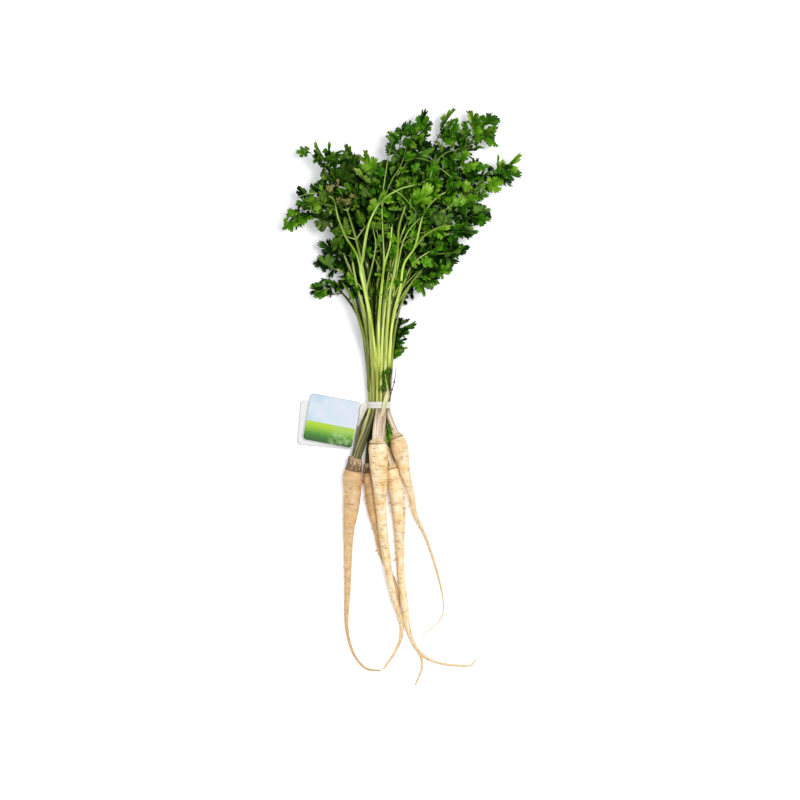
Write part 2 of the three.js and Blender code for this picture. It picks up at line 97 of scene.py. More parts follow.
# x, y, radius, lift of the underside over the table
ROOTS = {
    "left": [
        (-23.4, -53, 6.6, 6.6), (-24.6, -60, 7.2, 4.4), (-25.4, -64.8, 8.4, 2.4), (-26.2, -69.5, 9.7, 0.5),
        (-27, -90.7, 8.6, 0.2), (-28.5, -109.8, 7.2, 0.2), (-30.4, -128.9, 5.2, 0.2), (-31.1, -157.6, 4, 0.2),
        (-31.6, -186.3, 3.1, 0.2), (-32.5, -209.3, 2.3, 0.2), (-32, -226, 1.7, 0.2), (-25.5, -249.4, 1.3, 0.2),
        (-13.1, -264.2, 1.1, 0.2), (1.6, -266.6, 0.8, 0.2),
    ],
    "behind": [
        (-9.4, -59, 5.4, 1.4), (-9.6, -64, 5.8, 1.1), (-9.4, -68, 6.4, 0.7), (-8.9, -73, 7, 0.4),
        (-7.6, -84, 6.9, 0.2), (-5.5, -105.6, 6, 0.2), (-1, -124, 4.9, 0.2), (2.6, -146, 3.8, 0.2),
        (9.8, -166, 3.1, 0.2), (16.6, -184, 2.5, 0.2), (19.4, -196, 1.6, 0.2), (20.4, -208, 0.9, 0.2),
    ],
    "front": [
        (-0.6, -29, 7.8, 14.2), (-0.9, -34.5, 7.9, 14), (-1.2, -38.8, 8.8, 13.2), (-0.7, -43.5, 9.8, 12.4),
        (0, -62, 8.9, 12.6), (1, -81, 7, 13), (1.6, -100.2, 5.6, 11.4), (3.4, -119.4, 4.9, 10),
        (5.4, -138.5, 4.4, 8.3), (8.2, -157.6, 4, 7.5), (11.4, -176.7, 3.4, 6.2), (15.9, -195.9, 3, 4.6),
        (20.8, -213, 2.4, 2.3), (22.5, -221.5, 2.1, 1.4), (22.5, -230, 1.9, 0.8), (20.3, -239, 1.6, 0.2),
        (15.4, -249, 1.4, 0.2), (9.4, -258, 1.2, 0.2), (4.8, -264.6, 1, 0.2),
    ],
    "forked": [
        (10.9, -55, 6.4, 1.6), (12.2, -60, 6.8, 1.2), (13.2, -64, 7.7, 0.6), (14.3, -69, 8.6, 0.2),
        (18.2, -90.7, 7.8, 0.2), (20, -109.8, 6.7, 0.2), (20.6, -128.9, 5.3, 0.2), (21.2, -148, 4.4, 0.2),
        (22.4, -172, 3.9, 0.2), (26.2, -205.4, 3.7, 0.2), (28.4, -220.7, 3.1, 0.2), (31.4, -231.5, 2.3, 0.2),
        (37.2, -243.7, 1.9, 0.2), (44.3, -251.4, 1.5, 0.2), (55.8, -257.5, 1.3, 0.2), (75, -261.2, 1.1, 0.2),
        (93, -260.6, 0.9, 0.2), (97.4, -255, 0.7, 0.2),
    ],
    "right": [
        (13.9, -24.5, 5.6, 7.6), (15.6, -28.5, 5.9, 7.4), (17.6, -33, 7.2, 6.6), (19.4, -38, 8.3, 5.8),
        (21.3, -45.5, 8.4, 6), (23.9, -56.2, 6.6, 8.8), (27, -71.5, 5, 11.6), (32.4, -90.7, 3.4, 8.2),
        (36.2, -109.8, 2.5, 4), (40.7, -119.4, 1.9, 2.4), (46.7, -132.7, 1.5, 0.9), (57, -163.4, 1.2, 0.2),
        (64.2, -195, 0.7, 0.3), (63.4, -211, 0.55, 0.3), (54.5, -222.7, 0.45, 0.3), (43.4, -229.7, 0.4, 0.3),
    ],
}
FORK = [
    (35, -240, 1.9, 0.2), (37.2, -243.7, 1.6, 0.2), (41.6, -252, 1.3, 0.2), (43.2, -263, 1.2, 0.2),
    (36.4, -281, 0.7, 0.2),
]
CROWN_RING = 2  # station where the neck of a root meets its shoulder
# plants whose neck is made of the pale broad feet of their stalks: radius of a foot at the ring
SHEATHED = {"front": 3.0, "forked": 2.6, "right": 2.6}
# how pale a plant's stalks are at their feet, and how brown its root is (for the root behind, partly painted shade)
PALE_FOOT = {"left": 0.1, "behind": 0.0, "front": 1.0, "forked": 0.8, "right": 0.9}
BROWN_ROOT = {"left": 0.3, "behind": 0.8, "front": 0.0, "forked": 0.0, "right": 0.08}

# width, height, turn in degrees, middle
TAG_FRONT = (52.0, 48.0, -10.7, (-47.65, -16.05, 6.1))
TAG_BACK = (55.0, 45.0, -4.5, (-53.6, -19.4, 4.4))
TAG_SLOPE, TAG_CORNER, TAG_THICKNESS, TAG_BORDER = radians(6.5), 4.0, 0.4, 0.9
# left and right edge of the loose end of the tie
STRAP_EDGES = [
    [(-11.6, 3.3, 12.2), (-14, 3, 12.8), (-16.7, 0.4, 12.8), (-18.2, -6, 12.8), (-19, -13, 12), (-22.6, -20.8, 10.4)],
    [
        (-11.6, -3.2, 11.6), (-12.4, -4, 11.2), (-13.4, -5, 11.2), (-15, -8.4, 11.6), (-16.8, -13, 11.6),
        (-20.4, -21, 10.4),
    ],
]


# ---- Start: frame, camera ----
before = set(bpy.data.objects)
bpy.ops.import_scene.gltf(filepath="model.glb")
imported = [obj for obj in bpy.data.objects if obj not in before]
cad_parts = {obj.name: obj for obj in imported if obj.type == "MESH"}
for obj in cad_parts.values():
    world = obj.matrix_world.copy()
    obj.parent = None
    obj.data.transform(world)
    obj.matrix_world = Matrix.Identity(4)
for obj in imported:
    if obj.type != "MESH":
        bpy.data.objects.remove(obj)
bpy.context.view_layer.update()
low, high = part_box("tie_band")
SHIFT = np.array((low + high) / 2) / MM - np.array([0.0, 0.0, TIE_HEIGHT])

camera = bpy.data.objects.new("camera", bpy.data.cameras.new("camera"))
bpy.context.scene.collection.objects.link(camera)
bpy.context.scene.camera = camera
camera.data.lens = LENS
camera.data.sensor_width = SENSOR
camera.location = ((CAMERA_OVER[0] + SHIFT[0]) * MM, (CAMERA_OVER[1] + SHIFT[1]) * MM, CAMERA_HEIGHT)


# ---- Small tools ----
def chance(n, k):
    """A repeatable number from 0 to 1, the same as in the CAD source."""
    wide = sin(n * 127.1 + k * 311.7) * 43758.5453
    return wide - floor(wide)


def rough(x, y, z):
    return noise.noise(Vector((x, y, z)))


def smooth(x, start, end):
    t = np.clip((np.asarray(x, float) - start) / (end - start), 0, 1)
    return t * t * (3 - 2 * t)


def unit(v):
    v = np.asarray(v, float)
    return v / np.maximum(np.linalg.norm(v, axis=-1, keepdims=True), 1e-12)


def circle(count):
    return np.linspace(0, 2 * pi, count, endpoint=False)


def dip(x, middle, width):
    return np.exp(-(((x - middle) / width) ** 2))


def heading_of(step):
    return atan2(step[1], step[0])


def lengths(path):
    return np.concatenate([[0], np.cumsum(np.linalg.norm(np.diff(path, axis=0), axis=1))])


def bezier(points, t):
    """Points at t on a Bezier curve with three or four control points."""
    points = [np.asarray(p, float) for p in points]
    t = np.asarray(t, float)[:, None]
    while len(points) > 1:
        points = [a * (1 - t) + b * t for a, b in zip(points, points[1:])]
    return points[0]


def through(stations, step):
    """A centripetal Catmull-Rom curve through rows of numbers whose first three are a point."""
    p = np.asarray(stations, float)
    p = np.vstack([2 * p[0] - p[1], p, 2 * p[-1] - p[-2]])
    rows = []
    for i in range(1, len(p) - 2):
        knots = [0.0]
        for a, b in ((i - 1, i), (i, i + 1), (i + 1, i + 2)):
            knots.append(knots[-1] + max(np.linalg.norm(p[b][:3] - p[a][:3]), 1e-6) ** 0.5)
        n = max(2, int(np.linalg.norm(p[i + 1][:3] - p[i][:3]) / step))
        t = np.linspace(knots[1], knots[2], n, endpoint=False)[:, None]

        def blend(a, b, start, end):
            span = knots[end] - knots[start]
            return (knots[end] - t) / span * a + (t - knots[start]) / span * b

        sides = [blend(p[i + k - 1], p[i + k], k, k + 1) for k in range(3)]
        sides = [blend(sides[k], sides[k + 1], k, k + 2) for k in range(2)]
        rows.append(blend(*sides, 1, 2))
    return np.vstack(rows + [p[-2][None]])


def turned(points, heading=0.0, pitch=0.0, roll=0.0):
    """Points rolled about their own x, lifted at their far end, then turned about z; in radians."""
    x, y, z = points[..., 0], points[..., 1], points[..., 2]
    y, z = y * cos(roll) - z * sin(roll), y * sin(roll) + z * cos(roll)
    x, z = x * cos(pitch) - z * sin(pitch), x * sin(pitch) + z * cos(pitch)
    x, y = x * cos(heading) - y * sin(heading), x * sin(heading) + y * cos(heading)
    return np.stack([x, y, z], axis=-1)


class Form:
    """Vertices in millimetres, faces and values per vertex, gathered into one closed mesh."""

    def __init__(self):
        self.points, self.faces, self.values, self.count = [], [], {}, 0

    def add(self, points, faces, **values):
        points = np.asarray(points, float).reshape(-1, 3)
        self.faces += [tuple(int(i) + self.count for i in f) for f in faces]
        self.points.append(points)
        for name, value in values.items():
            value = np.asarray(value, float)
            if value.ndim == 0:
                value = np.full(len(points), float(value))
            self.values.setdefault(name, []).append(value)
        self.count += len(points)

    def piece(self, name, material, slot, *nodes):
        mesh = bpy.data.meshes.new(name)
        points = (np.vstack(self.points) + SHIFT) * MM
        mesh.from_pydata(points.tolist(), [], self.faces)
        for key, rows in self.values.items():
            rows = np.concatenate(rows).astype(np.float32)
            kind, field = ("FLOAT", "value") if rows.ndim == 1 else ("FLOAT_VECTOR", "vector")
            mesh.attributes.new(key, kind, "POINT").data.foreach_set(field, rows.ravel())
        mesh.polygons.foreach_set("use_smooth", np.ones(len(mesh.polygons), bool))
        mesh.update()
        mesh.materials.append(material)
        piece = bpy.data.objects.new(name, mesh)
        bpy.context.scene.collection.objects.link(piece)
        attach(piece, "root")
        if nodes:
            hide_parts(*nodes)


def between_rings(rings, sides, closed=False):
    """Quads between rings of points that follow each other."""
    faces = []
    for i in range(rings if closed else rings - 1):
        for j in range(sides):
            a, b, k = i * sides, (i + 1) % rings * sides, (j + 1) % sides
            faces.append((a + j, a + k, b + k, b + j))
    return faces


def per_point(values, sides, ends):
    """Values per ring as values per point. A tube has one more point at each of its ends."""
    ready = {}
    for key, value in values.items():
        value = np.asarray(value, float)
        ready[key] = np.concatenate([np.repeat(value, sides), value[[0, -1]][:ends]]) if value.ndim else value
    return ready


def tube(form, path, radii, sides, share=1.0, **values):
    """A closed tube. share scales its radius, for each side or for each ring and side."""
    path = np.asarray(path, float)
    n = len(path)
    back = -unit(np.gradient(path, axis=0))
    side = unit(np.cross(back, UP))
    over = np.cross(side, back)
    angle = circle(sides)
    reach = np.asarray(radii, float)[:, None] * share
    rings = (
        path[:, None]
        + side[:, None] * (reach * np.sin(angle))[..., None]
        + over[:, None] * (reach * np.cos(angle))[..., None]
    )
    ends = [path[0] + back[0] * radii[0] * 0.35, path[-1] - back[-1] * radii[-1] * 0.6]
    faces = between_rings(n, sides)
    for j in range(sides):
        k = (j + 1) % sides
        faces += [(n * sides, k, j), (n * sides + 1, (n - 1) * sides + j, (n - 1) * sides + k)]
    turn = np.column_stack([np.cos(angle), np.sin(angle), 0 * angle])
    turn = np.vstack([np.tile(turn, (n, 1)), np.zeros((2, 3))])
    values = per_point(dict(values, along=lengths(path)), sides, 2)
    form.add(np.vstack([rings.reshape(-1, 3), ends]), faces, turn=turn, **values)


def ribbon(form, path, out, widths, thickness, columns=4, bulge=0.0, closed=False, **values):
    """A flat strip with thickness: out is the way its face looks at each point of its path."""
    path, out = np.asarray(path, float), unit(out)
    n, m = len(path), 2 * columns
    ahead = np.roll(path, -1, 0) - np.roll(path, 1, 0) if closed else np.gradient(path, axis=0)
    across = unit(np.cross(unit(ahead), out))
    share = np.linspace(-1, 1, columns)
    widths = np.broadcast_to(np.asarray(widths, float), (n,))
    thick = thickness / 2 * (1 - 0.45 * share**4)
    base = path[:, None] + across[:, None] * (widths[:, None] / 2 * share)[..., None]
    rise = bulge * (1 - share**2)
    top = base + out[:, None] * (rise + thick)[None, :, None]
    bottom = (base + out[:, None] * (rise - thick)[None, :, None])[:, ::-1]
    faces = between_rings(n, m, closed)
    if not closed:
        faces += [tuple(range(m))[::-1], tuple((n - 1) * m + j for j in range(m))]
    around = np.tile(np.concatenate([share, share[::-1]]), n)
    values = per_point(dict(values, along=lengths(path)), m, 0)
    form.add(np.concatenate([top, bottom], axis=1).reshape(-1, 3), faces, around=around, **values)


# ---- Materials ----
class Wire:
    """A shader value that can stand in a sum."""

    def __init__(self, nodes, socket):
        self.nodes, self.socket = nodes, socket

    def __add__(self, other):
        return self.nodes.math("ADD", self, other)

    def __sub__(self, other):
        return self.nodes.math("SUBTRACT", self, other)

    def __mul__(self, other):
        return self.nodes.math("MULTIPLY", self, other)

    def __abs__(self):
        return self.nodes.math("ABSOLUTE", self)


class Nodes:
    """Short names for the shader nodes that the materials use."""

    def __init__(self, name, roughness, **settings):
        self.material = bpy.data.materials.new(name)
        self.material.use_nodes = True
        self.tree = self.material.node_tree
        self.surface = self.tree.nodes["Principled BSDF"].inputs
        for key, value in dict(settings, Roughness=roughness).items():
            self.surface[key.replace("_", " ")].default_value = value

    def node(self, kind, inputs, **settings):
        node = self.tree.nodes.new(kind)
        for key, value in settings.items():
            setattr(node, key, value)
        for key, value in inputs.items():
            self.put(node.inputs[key], value)
        return node

    def value(self, kind, output, inputs, **settings):
        return Wire(self, self.node(kind, inputs, **settings).outputs[output])

    def put(self, socket, value):
        if isinstance(value, Wire):
            self.tree.links.new(value.socket, socket)
        else:
            socket.default_value = value

    def attributes(self, *names):
        return [self.value("ShaderNodeAttribute", "Fac", {}, attribute_name=name) for name in names]

    def vector_attribute(self, name):
        return self.split(self.value("ShaderNodeAttribute", "Vector", {}, attribute_name=name))

    def place(self):
        return self.value("ShaderNodeTexCoord", "Object", {})

    def split(self, vector):
        return [Wire(self, socket) for socket in self.node("ShaderNodeSeparateXYZ", {0: vector}).outputs]

    def vector(self, x, y, z=0.0):
        return self.value("ShaderNodeCombineXYZ", 0, {0: x, 1: y, 2: z})

    def math(self, operation, a, b=0.0, clamp=False):
        return self.value("ShaderNodeMath", 0, {0: a, 1: b, 2: 0.0}, operation=operation, use_clamp=clamp)

    def range(self, value, start, end, kind="LINEAR"):
        inputs = {"Value": value, "From Min": start, "From Max": end}
        return self.value("ShaderNodeMapRange", 0, inputs, interpolation_type=kind)

    def step(self, value, start, end):
        """0 before start, 1 after end, smooth between; start may be the larger."""
        return self.range(value, start, end, "SMOOTHSTEP")

    def noise(self, vector, scale, detail=3.0, roughness=0.55):
        inputs = {"Vector": vector, "Scale": scale, "Detail": detail, "Roughness": roughness}
        return self.value("ShaderNodeTexNoise", "Fac", inputs)

    def ramp(self, value, *stops):
        """stops are a position and a colour in turn."""
        node = self.node("ShaderNodeValToRGB", {0: value})
        band = node.color_ramp
        while len(band.elements) < len(stops) // 2:
            band.elements.new(0.5)
        for element, position, colour in zip(band.elements, stops[::2], stops[1::2]):
            element.position = position
            element.color = (*colour, 1)
        return Wire(self, node.outputs[0])

    def mix(self, share, a, b, blend="MIX"):
        colours = {key: (*value, 1) if isinstance(value, tuple) else value for key, value in ((6, a), (7, b))}
        return self.value("ShaderNodeMix", 2, {0: share, **colours}, data_type="RGBA", blend_type=blend)

    def multiply(self, share, a, b):
        return self.mix(share, a, self.mix(1.0, a, b, "MULTIPLY"))

    def done(self, colour, height=None, distance=0.0, strength=0.0):
        """height, distance and strength are those of the bump."""
        self.put(self.surface["Base Color"], colour)
        if height:
            inputs = {"Height": height, "Distance": distance, "Strength": strength}
            self.put(self.surface["Normal"], self.value("ShaderNodeBump", 0, inputs))
        return self.material


def leaf_material():
    n = Nodes("leaf", 0.5, Specular_IOR_Level=0.04)
    across, out, _ = n.vector_attribute("lobe")
    tone, dry, under, hue, painted_shade_depth = n.attributes("tone", "dry", "under", "hue", "painted_shade_depth")
    # random light and dark mottling of the leaves: partly random tone, partly painted sheen and shade; it also drives
    # the bump
    mottle_and_sheen = n.noise(n.place(), 220, 4)
    # the out term makes each leaflet lighter at its rim and darker at its middle: painted shade
    value = tone * 0.85 + (mottle_and_sheen - 0.42) * 0.75 + (out - 0.5) * 0.16
    # painted shade: a leaf is darker the deeper it lies under others
    green = n.ramp(
        n.math("SUBTRACT", value, painted_shade_depth * 0.3, clamp=True),
        0.0, (0.003, 0.016, 0.0), 0.2, (0.01, 0.058, 0.001), 0.42, (0.034, 0.145, 0.001),
        0.62, (0.125, 0.29, 0.009), 0.8, (0.28, 0.48, 0.05), 1.0, (0.5, 0.66, 0.19),
    )
    green = n.multiply(n.step(hue, 0.4, 1.0) * 0.55, green, (0.42, 0.92, 1.7))
    green = n.multiply(n.step(hue, -0.35, -1.0) * 0.6, green, (1.6, 0.95, 1.3))
    toothward = n.step(abs(across - out * 0.62), 0.07, 0.01)
    vein = n.math("MAXIMUM", n.step(across, 0.13, 0.03), toothward * 0.6)
    green = n.mix(vein * 0.35, green, (0.15, 0.28, 0.02))
    green = n.mix(under * 0.5, green, (0.15, 0.26, 0.05))
    colour = n.mix(dry * 0.85, green, n.mix(0.6, green, (0.06, 0.085, 0.012)))
    patch = n.noise(n.place(), 70, 4)
    brown = n.ramp(patch, 0.3, (0.035, 0.03, 0.008), 0.46, (0.12, 0.11, 0.025), 0.64, (0.31, 0.3, 0.09))
    share = n.math("MULTIPLY", n.step(dry, 0.7, 1.0), n.step(patch, 0.3, 0.5), clamp=True)
    colour = n.mix(share, colour, brown)
    # painted shade: near black green deep under other leaves and stalks
    colour = n.mix(n.step(painted_shade_depth, 0.0, 0.6) * 0.8, colour, (0.003, 0.02, 0.0))
    return n.done(colour, mottle_and_sheen * 0.8 - vein, 0.0004, 0.5)


def stalk_material():
    n = Nodes("stalk", 0.36, Specular_IOR_Level=0.12)
    y = n.split(n.place())[1] - float(SHIFT[1]) * MM
    tone, pale, along, painted_shade_depth = n.attributes("tone", "pale", "along", "painted_shade_depth")
    cosine, sine, _ = n.vector_attribute("turn")
    turn = n.vector(cosine * 2.8, sine * 2.8, along * 0.035 + tone * 37.0)
    # streaks along the stalks: partly ribbing, partly painted highlights and shade; they also drive the bump
    rib_streak_and_painted_light = n.noise(turn, 1.0, 4, 0.6)
    way = n.range(y, -0.06, 0.24)
    white = n.ramp(
        way,
        0.0, (0.6, 0.44, 0.27), 0.08, (0.72, 0.59, 0.44), 0.135, (0.66, 0.53, 0.38), 0.18, (0.4, 0.28, 0.15),
        0.215, (0.54, 0.55, 0.13), 0.32, (0.53, 0.6, 0.09), 0.5, (0.44, 0.57, 0.06), 0.72, (0.27, 0.45, 0.03),
        1.0, (0.15, 0.32, 0.015),
    )
    olive = n.ramp(
        way,
        0.0, (0.13, 0.085, 0.035), 0.06, (0.11, 0.105, 0.03), 0.17, (0.17, 0.18, 0.04), 0.215, (0.38, 0.43, 0.05),
        0.34, (0.48, 0.56, 0.07), 0.5, (0.4, 0.53, 0.045), 0.72, (0.26, 0.44, 0.02), 1.0, (0.14, 0.31, 0.012),
    )
    colour = n.mix(pale, olive, white)
    withered = n.mix(n.step(y, 0.004, 0.014), (0.66, 0.6, 0.36), (0.62, 0.45, 0.24))
    colour = n.mix(n.step(pale, 1.2, 1.8) * n.step(y, 0.019, 0.014), colour, withered)

    def by_place(above, olive_below, pale_below):
        return n.mix(n.step(y, 0.001, -0.006), above, n.mix(pale, olive_below, pale_below))

    # light: colour of the light streaks, partly painted highlight; gap: colour of the dark streaks, partly painted
    # shade
    light = by_place((0.88, 0.92, 0.46), (0.4, 0.44, 0.14), (0.88, 0.79, 0.66))
    gap = by_place((0.055, 0.085, 0.002), (0.022, 0.026, 0.006), (0.24, 0.12, 0.08))
    # side: the colour that darkens the flanks and underside of each stalk, as painted shade
    side = by_place((0.42, 0.55, 0.2), (0.4, 0.45, 0.25), (0.62, 0.46, 0.36))
    # painted highlights on the light streaks and painted shade on the dark ones
    colour = n.mix(n.step(rib_streak_and_painted_light, 0.5, 0.62), colour, n.mix(0.75, colour, light))
    colour = n.mix(n.step(rib_streak_and_painted_light, 0.49, 0.38) * 0.75, colour, n.mix(0.75, colour, gap))
    # painted shade: the flanks and underside of each stalk darker than its top
    colour = n.multiply(n.step(cosine, 0.85, 0.1) * 0.7, colour, side)
    shade = tone * 0.75 + 0.5
    colour = n.mix(1.0, colour, n.value("ShaderNodeCombineColor", 0, {0: shade, 1: shade, 2: shade}), "MULTIPLY")
    purple = n.step(n.noise(turn, 2.3, 3), 0.55, 0.75) * n.step(y, -0.004, -0.03)
    colour = n.mix(purple * 0.4, colour, (0.3, 0.13, 0.12))
    # painted shade: near black green deep under other leaves and stalks
    colour = n.mix(n.step(painted_shade_depth, 0.0, 0.5) * 0.9, colour, (0.014, 0.034, 0.0))
    return n.done(colour, rib_streak_and_painted_light, 0.0006, 0.6)


def root_material():
    n = Nodes(
        "root", 0.58, Specular_IOR_Level=0.35, Subsurface_Weight=0.08, Subsurface_Scale=0.004,
        Subsurface_Radius=(1.0, 0.55, 0.3),
    )
    along, brown, neck, tone, thin, scar = n.attributes("along", "brown", "neck", "tone", "thin", "scar")
    cosine, sine, _ = n.vector_attribute("turn")
    seed = tone * 91.0

    def skin(stretch, spread):
        return n.vector(along * stretch + seed, cosine * spread, sine * spread)

    base = n.ramp(
        n.noise(skin(0.11, 0.9), 1.0, 5),
        0.28, (0.74, 0.44, 0.16), 0.41, (0.88, 0.62, 0.31), 0.54, (0.93, 0.74, 0.46), 0.7, (0.96, 0.84, 0.62),
    )
    rings = n.noise(skin(0.42, 0.34), 1.0, 3, 0.5)
    where = n.step(n.noise(skin(0.14, 1.6), 1.0, 2), 0.42, 0.58)
    line = n.step(abs(rings - 0.5), 0.03, 0.006) * where
    fine = n.noise(skin(1.3, 1.0), 1.0, 3, 0.6)
    scratch = n.step(fine, 0.6, 0.72) * n.step(n.noise(skin(0.09, 2.3), 1.0, 2), 0.42, 0.58)
    colour = n.mix(line * 0.6, base, (0.5, 0.25, 0.085))
    colour = n.mix(scratch * 0.38, colour, (0.6, 0.34, 0.12))
    pit = n.value("ShaderNodeTexVoronoi", "Distance", {"Vector": skin(0.16, 1.4), "Scale": 1.0})
    colour = n.mix(n.step(pit, 0.11, 0.05) * 0.6, colour, (0.24, 0.1, 0.03))
    # dark brown patches and a tan, as much as the root is brown: partly soil, partly painted shade on the root behind
    soil_and_shade = n.math("MULTIPLY", n.step(n.noise(skin(0.2, 1.1), 1.0, 4), 0.35, 0.6), brown, clamp=True)
    colour = n.mix(soil_and_shade, colour, (0.3, 0.15, 0.06))
    colour = n.mix(n.math("MINIMUM", brown * 2.0, 0.7), colour, (0.68, 0.42, 0.19))
    colour = n.mix(n.step(thin, 0.25, 1.0) * 0.3, colour, (0.6, 0.36, 0.16))
    fibre = n.noise(skin(0.06, 5.0), 1.0, 4, 0.65)
    sheath = n.ramp(fibre, 0.3, (0.2, 0.1, 0.04), 0.5, (0.5, 0.34, 0.19), 0.7, (0.78, 0.64, 0.47))
    colour = n.mix(neck, colour, sheath)
    colour = n.mix(scar, colour, (0.26, 0.11, 0.035))
    return n.done(colour, rings * 1.3 + fine * 0.4 - line * 0.7, 0.0013, 0.7)


def fibre_material():
    n = Nodes("fibre", 0.75)
    along, around, tone = n.attributes("along", "around", "tone")
    grain = n.noise(n.vector(around * 3.0, along * 0.2, tone * 50.0), 1.0, 4)
    colour = n.ramp(
        n.math("ADD", grain * 0.7, tone * 0.4, clamp=True),
        0.2, (0.045, 0.022, 0.01), 0.5, (0.2, 0.11, 0.05), 0.75, (0.45, 0.31, 0.17), 1.0, (0.7, 0.56, 0.37),
    )
    return n.done(colour, grain, 0.0005, 0.7)


def tie_material():
    n = Nodes("tie", 0.45, Specular_IOR_Level=0.4)
    along, around = n.attributes("along", "around")
    paper = n.noise(n.vector(along * 0.5, around * 3.0), 1.0, 5)
    crease = n.noise(n.vector(along * 1.4, around * 0.4), 1.0, 2)
    colour = n.ramp(paper, 0.3, (0.6, 0.55, 0.47), 0.55, (0.72, 0.68, 0.6), 0.8, (0.8, 0.77, 0.72))
    wire = n.step(abs(around), 0.2, 0.0)
    return n.done(colour, wire * 0.6 + crease * 0.8, 0.0008, 0.7)


def tag_material():
    """Coated card: a plain pale upper part and a plain green lower part inside a narrow white border."""
    n = Nodes("tag", 0.32, Specular_IOR_Level=0.4, Coat_Weight=0.2, Coat_Roughness=0.15)
    x, y, face = n.vector_attribute("print")
    wide, high = (side / 2 - TAG_BORDER for side in TAG_FRONT[:2])
    corner, horizon = 3.6, -3.3
    dx = n.math("MAXIMUM", abs(x) - (wide - corner), 0.0)
    down = n.math("MAXIMUM", y * -1.0 - (high - corner), 0.0)
    reach = n.math("SQRT", n.math("POWER", dx, 2.0) + n.math("POWER", down, 2.0))
    printed = n.step(reach, corner + 0.15, corner - 0.15) * n.step(face, 0.4, 0.6)
    soft = n.noise(n.vector(x, y), 0.07, 3)
    sky = n.ramp(soft + x * 0.006, 0.2, (0.4, 0.55, 0.68), 0.42, (0.55, 0.65, 0.71), 0.62, (0.63, 0.66, 0.74))
    grain = n.noise(n.vector(x * 0.35, y * 1.1), 1.0, 5, 0.65)
    field = n.ramp(
        n.step(y, -24.0, -4.0) * 0.75 + grain * 0.4,
        0.2, (0.007, 0.075, 0.001), 0.45, (0.036, 0.19, 0.002), 0.7, (0.16, 0.38, 0.003), 0.95, (0.38, 0.57, 0.006),
    )
    haze = n.step(x, -3.0, 6.0) * n.step(n.noise(n.vector(x, y), 0.2, 4), 0.35, 0.7)
    field = n.mix(haze * 0.7, field, (0.36, 0.56, 0.2))
    colour = n.mix(n.step(y, horizon, horizon - 0.5), sky, field)
    colour = n.mix(printed, (0.72, 0.72, 0.71), colour)
    return n.done(colour, n.noise(n.place(), 900, 4), 0.0002, 0.25)


ROOT, FIBRE, LEAF, STALK = root_material(), fibre_material(), leaf_material(), stalk_material()


# ---- Roots ----
ROOT_STEP = 0.8  # between the rings of points of a root
ROOTLETS = 7


def root_line(stations):
    rows = through([(x, y, radius + lift, radius) for x, y, radius, lift in stations], ROOT_STEP)
    return rows[:, :3], rows[:, 3]


def ring_point(plant):
    x, y, radius, lift = ROOTS[plant][CROWN_RING]
    return np.array([x, y, radius + lift])


def taproot(form, stations, seed, brown, sides=34, ring=True, slim_neck=False):
    """A root with rings and lumps. Its ring is a dark scar, and above it comes the neck."""
    path, radii = root_line(stations)
    along = lengths(path)
    collar = along[np.argmin(np.linalg.norm(path[:, :2] - stations[CROWN_RING][:2], axis=1))] if ring else 0.0
    share = np.ones((len(path), sides))
    for i, s in enumerate(along):
        soft = 0.35 + 0.65 * float(smooth(s, collar + 90, collar + 10))
        for j, a in enumerate(circle(sides)):
            c, z = cos(a), sin(a)
            rings = rough(s * 0.42 + seed * 9, c * 0.5, z * 0.5)
            lumps = rough(s * 0.07 + seed * 5, c * 0.9 + 3, z * 0.9)
            fine = rough(s * 1.1 + seed * 3, c * 1.3, z * 1.3 + 7)
            share[i, j] += soft * (0.028 * rings + 0.012 * fine) + 0.05 * lumps
            if ring and s < collar:
                share[i, j] += 0.05 * sin(11 * a + 4 * rough(s * 0.1, seed, 0))
    scar = neck = 0.0
    if ring:
        share *= (1 - 0.06 * dip(along, collar, 0.9))[:, None]
        scar = 0.85 * dip(along, collar, 0.5 if slim_neck else 0.8)
        neck = smooth(along, collar + 0.2, collar - 1.2) * (0.3 if slim_neck else 1)
    if slim_neck:
        share *= (0.5 + 0.5 * smooth(along, collar - 9, collar - 0.3))[:, None]
    # browner on the shoulder below the ring: painted contact shade, mostly on the root behind
    brown = brown * (1 + 0.8 * smooth(along, collar + 26, collar))
    thin = smooth(radii, 4.5, 1.0)
    tube(form, path, radii, sides, share, brown=brown, neck=neck, scar=scar, thin=thin, tone=seed / 7)
    return path, radii


def rootlets(form, path, radii, seed, brown):
    """Short side roots, thin as threads."""
    rng = random.Random(seed)
    t = np.linspace(0, 1, 7)[:, None]
    for _ in range(ROOTLETS):
        i = rng.randrange(len(path) // 6, max(np.flatnonzero(radii > 1.7)))
        turn = rng.uniform(-0.4, 1.2) * pi
        ahead = unit(path[i + 1] - path[i])
        side = unit(np.cross(ahead, UP))
        out = unit(side * cos(turn) + UP * sin(turn) * 0.7)
        length = rng.uniform(2, 6) * (0.6 + radii[i] * 0.12)
        bend = np.array([rng.uniform(-1, 1), rng.uniform(-1, 1), -0.6]) * length * 0.3
        line = path[i] + out * (radii[i] * 0.9 + length * t) + (ahead * 0.9) * length * t + bend * t**2
        line[:, 2] = np.maximum(line[:, 2], 0.35)
        tube(form, line, np.linspace(0.34, 0.12, 7), 5, brown=brown, neck=0.0, scar=0.25, thin=0.8, tone=seed / 7)


def nub(form, start, heading, length, radius, seed, brown):
    """The stump of a side root."""
    t = np.linspace(0, 1, 8)
    line = np.array(start) + np.array([*heading, 0.1]) * length * t[:, None]
    tube(form, line, radius * (1 - 0.7 * t**2), 10, brown=brown, neck=0.0, scar=0.1 + 0.6 * t, thin=0.3, tone=seed / 7)


